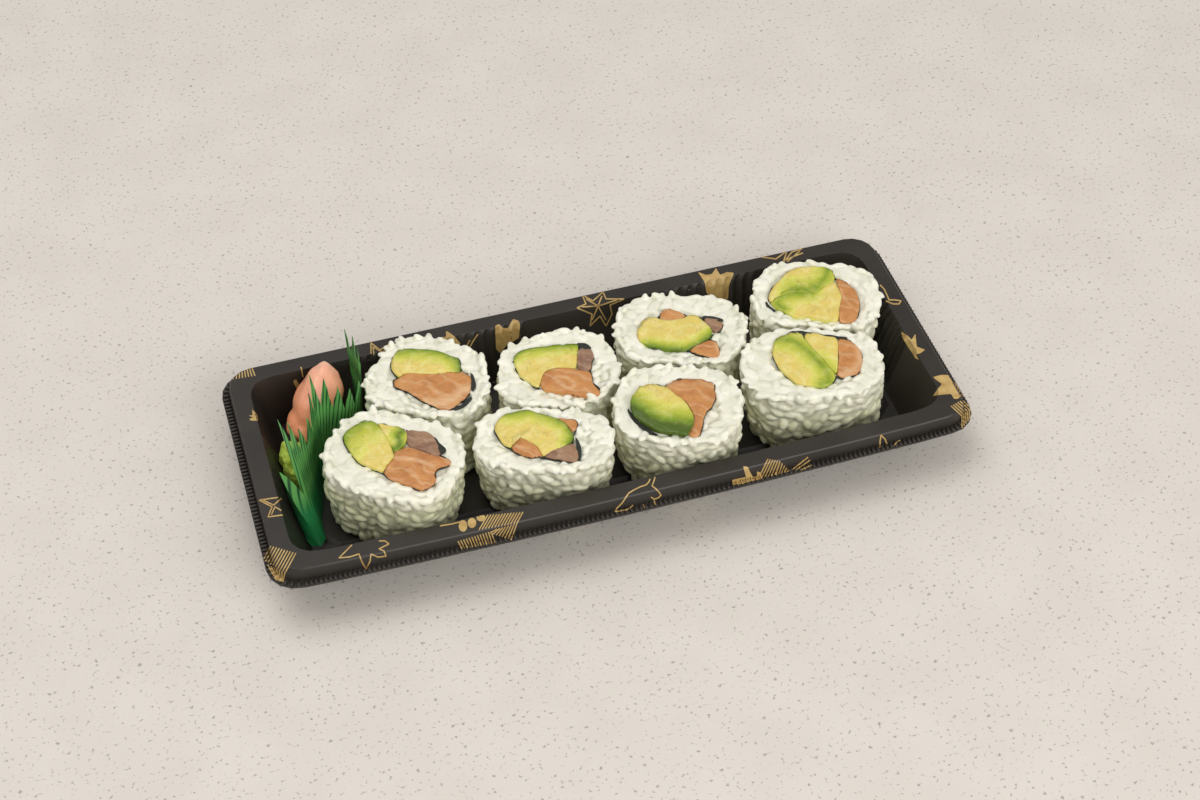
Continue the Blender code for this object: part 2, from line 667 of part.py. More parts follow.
def ginger_slice(turn, lift, shift):
    """One thin slice draped over the heap, as a closed wavy leaf."""
    across, along_it, thick = 5, 6, 1.3
    length, width = 18.5, 15.0
    vertices = []
    for side in (0.5, -0.5):
        for i in range(along_it):
            for j in range(across):
                u = i / (along_it - 1) - 0.5
                v = j / (across - 1) - 0.5
                narrow = math.sqrt(max(0.08, 1.0 - (1.75 * u) ** 2))
                x = width * v * narrow
                y = length * u
                droop = 0.040 * y * y + 0.120 * x * x
                wave = 0.9 * math.sin(0.75 * x + shift) * (0.4 + abs(u))
                z = GINGER_HEIGHT * (1.0 + GINGER_SLOPE * (y + shift)) + lift - droop + wave + side * thick
                x, y = turned((x, y + shift), turn)
                vertices.append((GINGER_MIDDLE[0] + x, GINGER_MIDDLE[1] + y, ROLL_FLOOR + z))
    other = across * along_it
    faces = []
    for i in range(along_it - 1):
        for j in range(across - 1):
            a = i * across + j
            faces.append((a, a + 1, a + across + 1))
            faces.append((a, a + across + 1, a + across))
            faces.append((other + a, other + a + across + 1, other + a + 1))
            faces.append((other + a, other + a + across, other + a + across + 1))
    edge = list(range(across))
    edge += [i * across + across - 1 for i in range(1, along_it)]
    edge += [(along_it - 1) * across + j for j in reversed(range(across - 1))]
    edge += [i * across for i in reversed(range(1, along_it - 1))]
    for a, b in zip(edge, edge[1:] + edge[:1]):
        faces.append((a, other + a, other + b, b))
    return vertices, faces


def keep_outer_shell(mesh):
    """Fills the hollows sealed between slices: only faces joined to the highest point stay."""
    work = bmesh.new()
    work.from_mesh(mesh)
    work.verts.ensure_lookup_table()
    ahead = [max(work.verts, key=lambda v: v.co.z)]
    outer = set(ahead)
    while ahead:
        for edge in ahead.pop().link_edges:
            for vertex in edge.verts:
                if vertex not in outer:
                    outer.add(vertex)
                    ahead.append(vertex)
    bmesh.ops.delete(work, geom=[v for v in work.verts if v not in outer], context="VERTS")
    work.to_mesh(mesh)
    work.free()


def make_ginger(material):
    """A heap of draped slices fused to their core."""
    rng = random.Random(5)
    dents = [[rng.random() for _ in range(18)] for _ in range(8)]

    def shape(angle, share):
        column = round(angle / (2.0 * math.pi) * 18) % 18
        return 1.0 - 0.12 * dents[round(share * 7)][column] + 0.07 * math.cos(2.0 * angle + 3.0 * share)

    vertices, faces = lump(GINGER_MIDDLE, GINGER_HALF, GINGER_HEIGHT, ROLL_FLOOR, 12, 5, shape, GINGER_TURN,
                           GINGER_SLOPE)
    core = make_object("ginger", vertices, faces, material, (*GINGER_MIDDLE, ROLL_FLOOR), smooth_degrees=60.0)
    slices = bpy.data.collections.new("ginger_slices")
    for turn, lift, shift in ((-35.0, 1.0, 2.4), (-50.0, -1.0, -1.0), (-28.0, -2.8, 0.5)):
        vertices, faces = ginger_slice(turn, lift, shift)
        piece = make_object("slice", vertices, faces, material, (*GINGER_MIDDLE, ROLL_FLOOR))
        slices.objects.link(piece)
    fuse = core.modifiers.new("slices", "BOOLEAN")
    fuse.operation = "UNION"
    fuse.operand_type = "COLLECTION"
    fuse.collection = slices
    fuse.solver = "EXACT"
    bpy.context.view_layer.update()
    fused = bpy.data.meshes.new_from_object(core.evaluated_get(bpy.context.evaluated_depsgraph_get()))
    keep_outer_shell(fused)
    core.modifiers.remove(fuse)
    core.data = fused
    core.data.name = "ginger"
    for piece in list(slices.objects):
        bpy.data.objects.remove(piece)
    bpy.data.collections.remove(slices)
    return core


def main():
    clear_scene()
    black = make_material("tray_plastic", (0.028, 0.026, 0.024), 0.32)
    rice = make_material("rice", (0.80, 0.80, 0.70), 0.55)
    seaweed = make_material("seaweed", (0.012, 0.016, 0.012), 0.5)
    green = make_material("divider_plastic", (0.02, 0.25, 0.07), 0.35)
    pink = make_material("ginger", (0.86, 0.36, 0.24), 0.35)
    wasabi = make_material("wasabi", (0.50, 0.52, 0.08), 0.6)
    fillings = {
        "avocado": make_material("avocado", (0.66, 0.62, 0.16), 0.45),
        "salmon": make_material("salmon", (0.78, 0.34, 0.15), 0.35),
        "salmon_dark": make_material("salmon_dark", (0.42, 0.22, 0.14), 0.35),
    }
    make_tray(black)
    for salt, name in enumerate(ROLLS):
        make_rice(name, rice, 100 + salt)
        make_seaweed(name, seaweed)
        for index in range(len(FILLINGS[name])):
            make_filling(name, index, fillings)
    make_divider(green)
    make_ginger(pink)
    make_wasabi(wasabi)


main()
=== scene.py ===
# %% [markdown]
# # A takeaway sushi tray
# A black plastic tray holds eight rolls, a green grass divider, pickled ginger and a lump of wasabi. The
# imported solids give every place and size. This lesson puts real surfaces over them, one piece at a time:
# rice grains, torn seaweed, cut avocado and salmon, folded ginger and the gold print of the tray.

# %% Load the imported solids
import math

import bpy
import numpy as np
from mathutils import Matrix, Vector
from mathutils.bvhtree import BVHTree


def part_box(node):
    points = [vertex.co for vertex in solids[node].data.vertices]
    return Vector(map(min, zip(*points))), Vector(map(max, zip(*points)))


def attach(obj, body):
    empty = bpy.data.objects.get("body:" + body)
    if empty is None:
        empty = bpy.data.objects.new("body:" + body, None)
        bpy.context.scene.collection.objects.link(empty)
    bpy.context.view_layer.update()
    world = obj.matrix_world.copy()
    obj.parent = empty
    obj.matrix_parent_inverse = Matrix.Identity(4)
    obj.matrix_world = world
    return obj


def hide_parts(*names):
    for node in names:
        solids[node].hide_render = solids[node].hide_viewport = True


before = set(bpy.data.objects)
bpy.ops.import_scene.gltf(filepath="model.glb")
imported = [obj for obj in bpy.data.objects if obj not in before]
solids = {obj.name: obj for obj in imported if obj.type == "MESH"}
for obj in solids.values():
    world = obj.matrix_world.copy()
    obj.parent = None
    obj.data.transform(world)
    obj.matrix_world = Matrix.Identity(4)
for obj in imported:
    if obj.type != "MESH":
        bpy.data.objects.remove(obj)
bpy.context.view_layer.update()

MM = 0.001

# %% [markdown]
# ## Tools for the bench
# Nearly every piece starts as a solid's copy or as a primitive, is pushed about in edit mode, and ends
# with an applied modifier. These few helpers keep each of those steps to one line. Operators act on all
# that is selected, so the first helper always picks out one thing alone.

# %% Pick and copy things
def pick(thing):
    bpy.ops.object.select_all(action="DESELECT")
    thing.select_set(True)
    bpy.context.view_layer.objects.active = thing
    return thing


def merged_copy(solid, name):
    """A solid's copy with its loose triangles joined into one skin."""
    thing = bpy.data.objects.new(name, solids[solid].data.copy())
    bpy.context.scene.collection.objects.link(thing)
    thing.data.materials.clear()
    pick(thing)
    if thing.data.has_custom_normals:
        bpy.ops.mesh.customdata_custom_splitnormals_clear()
    bpy.ops.object.mode_set(mode="EDIT")
    bpy.ops.mesh.select_all(action="SELECT")
    bpy.ops.mesh.remove_doubles(threshold=0.000005)
    bpy.ops.mesh.normals_make_consistent(inside=False)
    bpy.ops.object.mode_set(mode="OBJECT")
    return thing


# %% Apply, build and place pieces
def apply_modifier(thing, kind, **settings):
    pick(thing)
    modifier = thing.modifiers.new(kind.lower(), kind)
    for key, value in settings.items():
        setattr(modifier, key, value)
    bpy.ops.object.modifier_apply(modifier=modifier.name)


def new_piece(name, vertices, faces):
    mesh = bpy.data.meshes.new(name)
    mesh.from_pydata(vertices, [], faces)
    mesh.update()
    thing = bpy.data.objects.new(name, mesh)
    bpy.context.scene.collection.objects.link(thing)
    return thing


def place(piece, slot, material, *replaced):
    """Gives a finished piece its material, its body and the solids that it stands for."""
    piece.data.materials.clear()
    piece.data.materials.append(material)
    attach(piece, "root")
    if replaced:
        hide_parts(*replaced)
    print(piece.name, len(piece.data.polygons), "faces")


# %% [markdown]
# ## Tools for finishes
# A finish is a Principled shader with a few nodes in front of it. Noise breaks up the colour, a ramp
# turns it into shades, and a bump gives the fine relief. All of them read Object coordinates, so they
# stay on the piece.

# %% Build a finish
def finish(name, colour, roughness, **sockets):
    material = bpy.data.materials.new(name)
    material.use_nodes = True
    shader = material.node_tree.nodes["Principled BSDF"]
    shader.inputs["Base Color"].default_value = (*colour, 1.0)
    shader.inputs["Roughness"].default_value = roughness
    for socket, value in sockets.items():
        shader.inputs[socket.replace("_", " ")].default_value = value
    return material


def node(material, kind, **settings):
    made = material.node_tree.nodes.new(kind)
    for key, value in settings.items():
        setattr(made, key, value)
    return made


def wire(material, output, socket):
    material.node_tree.links.new(output, socket)


def place_on_piece(material):
    return node(material, "ShaderNodeTexCoord").outputs["Object"]


print("finish helpers ready")


# %% [markdown]
# Four kinds of nodes do nearly all the work: noise, a ramp of shades, a sum and a mix of two colours. Each
# helper adds one of them, joins up what goes in and gives back what comes out, so that they can be nested.

# %% Add noise, shades, sums and mixes
def grain_noise(material, size_mm, detail=3.0, distortion=0.0, stretch=None):
    """Noise whose lumps are about so many millimetres across."""
    made = node(material, "ShaderNodeTexNoise")
    made.inputs["Scale"].default_value = 1.0 / (size_mm * MM)
    made.inputs["Detail"].default_value = detail
    made.inputs["Distortion"].default_value = distortion
    source = place_on_piece(material)
    if stretch:
        mapping = node(material, "ShaderNodeMapping")
        mapping.inputs["Rotation"].default_value = stretch[0]
        mapping.inputs["Scale"].default_value = stretch[1]
        wire(material, source, mapping.inputs["Vector"])
        source = mapping.outputs["Vector"]
    wire(material, source, made.inputs["Vector"])
    return made.outputs["Fac"]


def shades(material, factor, *stops):
    """A colour ramp of (place, colour) stops."""
    ramp = node(material, "ShaderNodeValToRGB")
    while len(ramp.color_ramp.elements) < len(stops):
        ramp.color_ramp.elements.new(0.5)
    for element, (position, colour) in zip(ramp.color_ramp.elements, stops):
        element.position = position
        element.color = (*colour, 1.0)
    wire(material, factor, ramp.inputs["Fac"])
    return ramp.outputs["Color"]


def sums(material, operation, first, second=None, third=None):
    made = node(material, "ShaderNodeMath", operation=operation)
    for slot, value in enumerate((first, second, third)):
        if value is None:
            continue
        if isinstance(value, (int, float)):
            made.inputs[slot].default_value = value
        else:
            wire(material, value, made.inputs[slot])
    return made.outputs["Value"]


def blend(material, factor, first, second):
    """Mixes two colours; the colour sockets of a mix node come after those for numbers and vectors."""
    made = node(material, "ShaderNodeMix", data_type="RGBA", blend_type="MIX")
    inputs = [made.inputs[0], made.inputs[6], made.inputs[7]]
    for socket, value in zip(inputs, (factor, first, second)):
        if isinstance(value, (int, float)):
            socket.default_value = value
        elif isinstance(value, tuple):
            socket.default_value = (*value, 1.0)
        else:
            wire(material, value, socket)
    return made.outputs[2]


print("node helpers ready")


# %% Join colour and relief to the shader
def colour_from(material, colour):
    wire(material, colour, material.node_tree.nodes["Principled BSDF"].inputs["Base Color"])


def relief(material, height, depth_mm):
    bump = node(material, "ShaderNodeBump")
    bump.inputs["Strength"].default_value = 1.0
    bump.inputs["Distance"].default_value = depth_mm * MM
    wire(material, height, bump.inputs["Height"])
    wire(material, bump.outputs["Normal"], material.node_tree.nodes["Principled BSDF"].inputs["Normal"])


# %% [markdown]
# ## Camera, table and light
# The tray lies on a pale stone table under a wide soft light. The camera looks down from the front left
# corner with a long lens, so the far end of the tray hardly shrinks.

# %% Set up the camera
RIM_MIDDLE_Y = 0.8
LENS, SENSOR = 65.74, 36.0
CAMERA_PLACE = Vector((-127.59, -460.13 + RIM_MIDDLE_Y, 496.23))
camera_data = bpy.data.cameras.new("camera")
camera_data.lens = LENS
camera_data.sensor_width = SENSOR
camera_data.clip_start = 0.01
camera = bpy.data.objects.new("camera", camera_data)
bpy.context.scene.collection.objects.link(camera)
look = Vector((0.19133453, 0.67883913, -0.70892068))
right = Vector((0.95712187, -0.28909398, -0.01850397))
up = right.cross(look)
turn = Matrix((right, up, -look)).transposed().to_4x4()
camera.matrix_world = Matrix.Translation(CAMERA_PLACE * MM) @ turn
bpy.context.scene.camera = camera
print("the camera stands at", [round(q, 3) for q in camera.matrix_world.translation])

# %% [markdown]
# The table is a plain plane. Its stone is two close shades with dark specks, made by noise. Two wide lamps
# give the soft shadow, and a pale room lights the shadow side.

# %% Lay the table
bpy.ops.object.select_all(action="DESELECT")
TABLE_WIDTH = 4.0
bpy.ops.mesh.primitive_plane_add(size=TABLE_WIDTH, location=(0.0, 0.0, 0.0))
table = bpy.context.object
table.name = "table"
stone = finish("pale_stone", (0.71, 0.665, 0.61), 0.55)
cloudy = shades(stone, grain_noise(stone, 25.0, 3.0), (0.35, (0.70, 0.655, 0.60)),
                (0.65, (0.73, 0.685, 0.63)))
specks = shades(stone, grain_noise(stone, 1.3, 2.0), (0.62, (0.0, 0.0, 0.0)), (0.70, (0.75, 0.75, 0.75)))
colour_from(stone, blend(stone, specks, cloudy, (0.30, 0.275, 0.25)))
table.data.materials.append(stone)
print("table laid:", TABLE_WIDTH, "metres wide")


# %% Hang the lights
def hang_light(name, place_at, aim, size, power, colour):
    data = bpy.data.lights.new(name, "AREA")
    data.shape = "RECTANGLE"
    data.size, data.size_y = size
    data.energy = power
    data.color = colour
    light = bpy.data.objects.new(name, data)
    light.location = place_at
    light.rotation_euler = (Vector(aim) - Vector(place_at)).to_track_quat("-Z", "Y").to_euler()
    bpy.context.scene.collection.objects.link(light)


hang_light("wide_light", (-0.45, 0.35, 1.6), (0.0, 0.0, 0.0), (1.5, 1.3), 11.5, (1.0, 0.98, 0.96))
hang_light("front_light", (0.45, -1.25, 0.9), (0.0, 0.0, 0.0), (1.4, 0.8), 14.0, (1.0, 0.99, 0.97))
world = bpy.data.worlds.new("room")
world.use_nodes = True
world.node_tree.nodes["Background"].inputs["Color"].default_value = (1.0, 0.98, 0.95, 1.0)
world.node_tree.nodes["Background"].inputs["Strength"].default_value = 0.46
bpy.context.scene.world = world
bpy.context.scene.view_settings.view_transform = "Standard"
print("lights hung")

# %% [markdown]
# ## The tray
# The tray is drawn from one thin black sheet over a mould, so none of its edges is truly sharp. A bevel
# rounds the solid's edges, and a small bump gives the orange-peel skin that such a sheet has. The
# plastic is half glossy, so much of its look is what it softly reflects.

# %% Round the tray's edges
SHARP = math.radians(28)
EDGE_ROUND = 0.32
tray = merged_copy("tray", "tray_shell")
pick(tray)
bpy.ops.object.shade_smooth_by_angle(angle=SHARP)
apply_modifier(tray, "BEVEL", width=EDGE_ROUND * MM, segments=2, limit_method="ANGLE", angle_limit=SHARP,
               harden_normals=True)
black_plastic = finish("black_plastic", (0.025, 0.021, 0.017), 0.40, Specular_IOR_Level=0.42)
skin = grain_noise(black_plastic, 1.1, 2.0)
relief(black_plastic, skin, 0.02)
cloudy = shades(black_plastic, grain_noise(black_plastic, 18.0, 2.0), (0.3, (0.022, 0.0180, 0.0145)),
                (0.7, (0.033, 0.0275, 0.0225)))
colour_from(black_plastic, cloudy)
place(tray, "tray_plastic", black_plastic, "tray")

# %% [markdown]
# Under the rim the sheet turns out into a narrow lip, and the tool that trims it leaves small ribs all
# the way round. One rib is a stretched cube with bevelled edges. It is then copied along the lip, each
# copy turned to stand square to the edge, and the copies are joined.

# %% Walk round the rim
HALF_X, HALF_Y, CORNER, FRONT_BOW = 106.8, 43.2, 7.5, 1.6
LIP_Z = 15.6
FAR_OUT = 140.0
HALVINGS = 40


def rim_side(x, y):
    """Signed distance from the rim's outline, below zero inside it, and the direction out."""
    bow = FRONT_BOW * (1.0 - (x / HALF_X) ** 2) if y < 0.0 else 0.0
    qx = abs(x) - (HALF_X - CORNER)
    qy = abs(y) - (HALF_Y + bow - CORNER)
    if qx > 0.0 and qy > 0.0:
        length = math.hypot(qx, qy)
        out = (qx / length, qy / length)
        distance = length - CORNER
    elif qx > qy:
        out, distance = (1.0, 0.0), qx - CORNER
    else:
        out, distance = (0.0, 1.0), qy - CORNER
    return distance, (math.copysign(out[0], x), math.copysign(out[1], y))


def rim_path(step):
    """Points on the rim's outline, about a step apart, with the direction out."""
    path = []
    angle = 0.0
    while angle < 2.0 * math.pi:
        low, high = 0.0, FAR_OUT
        for _ in range(HALVINGS):
            middle = 0.5 * (low + high)
            if rim_side(middle * math.cos(angle), middle * math.sin(angle))[0] < 0.0:
                low = middle
            else:
                high = middle
        x, y = low * math.cos(angle), low * math.sin(angle)
        out = rim_side(x, y)[1]
        path.append((x, y, out))
        lean = abs(math.cos(angle) * out[0] + math.sin(angle) * out[1])
        angle += step * lean / low
    return path


print("half sizes of the rim:", HALF_X, HALF_Y)


# %% [markdown]
# The walk gives a point and a direction out for every rib. The cube is modelled once, kept as a list of
# points and faces, and its copies are written into one mesh, which is lighter than hundreds of objects.

# %% Rib the lip
RIB_SIZE, RIB_ROUND, RIB_STEP = (2.1, 0.85, 0.9), 0.24, 1.5
RIB_REACH, RIB_RISE = 1.62, 0.15
bpy.ops.object.select_all(action="DESELECT")
bpy.ops.mesh.primitive_cube_add(size=1.0)
rib = bpy.context.object
bpy.ops.object.mode_set(mode="EDIT")
bpy.ops.transform.resize(value=RIB_SIZE)
bpy.ops.mesh.bevel(offset=RIB_ROUND, segments=2, affect="EDGES")
bpy.ops.object.mode_set(mode="OBJECT")
rib_points = np.array([tuple(v.co) for v in rib.data.vertices])
rib_faces = [tuple(p.vertices) for p in rib.data.polygons]
bpy.data.objects.remove(rib)
vertices, faces = [], []
for x, y, out in rim_path(RIB_STEP):
    along = (-out[1], out[0])
    start = len(vertices)
    for px, py, pz in rib_points:
        reach = RIB_REACH + px
        vertices.append(((x + out[0] * reach + along[0] * py) * MM,
                         (y + out[1] * reach + along[1] * py + RIM_MIDDLE_Y) * MM,
                         (LIP_Z + RIB_RISE + pz) * MM))
    faces += [tuple(start + i for i in face) for face in rib_faces]
ribs = new_piece("lip_ribs", vertices, faces)
ribs.data.shade_smooth()
place(ribs, "tray_plastic", black_plastic)

# %% [markdown]
# ## Places seen from the camera
# The cut faces and the gold print are easiest to describe as they are seen, in picture places 1200 wide
# and 800 high. A ray from the camera through such a place meets the level plane of a roll's top, or the
# tray itself, and that gives the true place in the tray.

# %% Turn picture places into tray places
EYE = camera.matrix_world.translation.copy()
PICTURE = (1200.0, 800.0)
MIDDLE_X, MIDDLE_Y = PICTURE[0] / 2.0, PICTURE[1] / 2.0
PER_SLOPE = camera_data.lens / camera_data.sensor_width * PICTURE[0]


def sight(px, py):
    """The direction from the camera through a picture place."""
    return (look + right * ((px - MIDDLE_X) / PER_SLOPE) - up * ((py - MIDDLE_Y) / PER_SLOPE)).normalized()


def on_level(px, py, z_mm):
    """The point that is seen at a picture place and lies at a height in millimetres."""
    ray = sight(px, py)
    return EYE + ray * ((z_mm * MM - EYE.z) / ray.z)


def seen_at(point):
    """The picture place at which a point is seen."""
    off = Vector(point) - EYE
    depth = off.dot(look)
    return (MIDDLE_X + PER_SLOPE * off.dot(right) / depth, MIDDLE_Y - PER_SLOPE * off.dot(up) / depth)


print("the origin is seen at", [round(v, 1) for v in seen_at((0.0, 0.0, 0.0))])

# %% [markdown]
# ## Cut faces
# Each filling is a strip that runs through the roll, so its cut face is a flat shape with its own
# outline. A circle primitive is moved onto that outline, shrunk inward in rings to make the cut face,
# and extruded down to the foot of the roll. The face bulges a little and the rim drops a little, as a
# knife leaves soft flesh.
#
# Each entry gives the outline and the middle as picture places, how far the face stands above the rice,
# and the lines where the skin side or the pale fat runs.

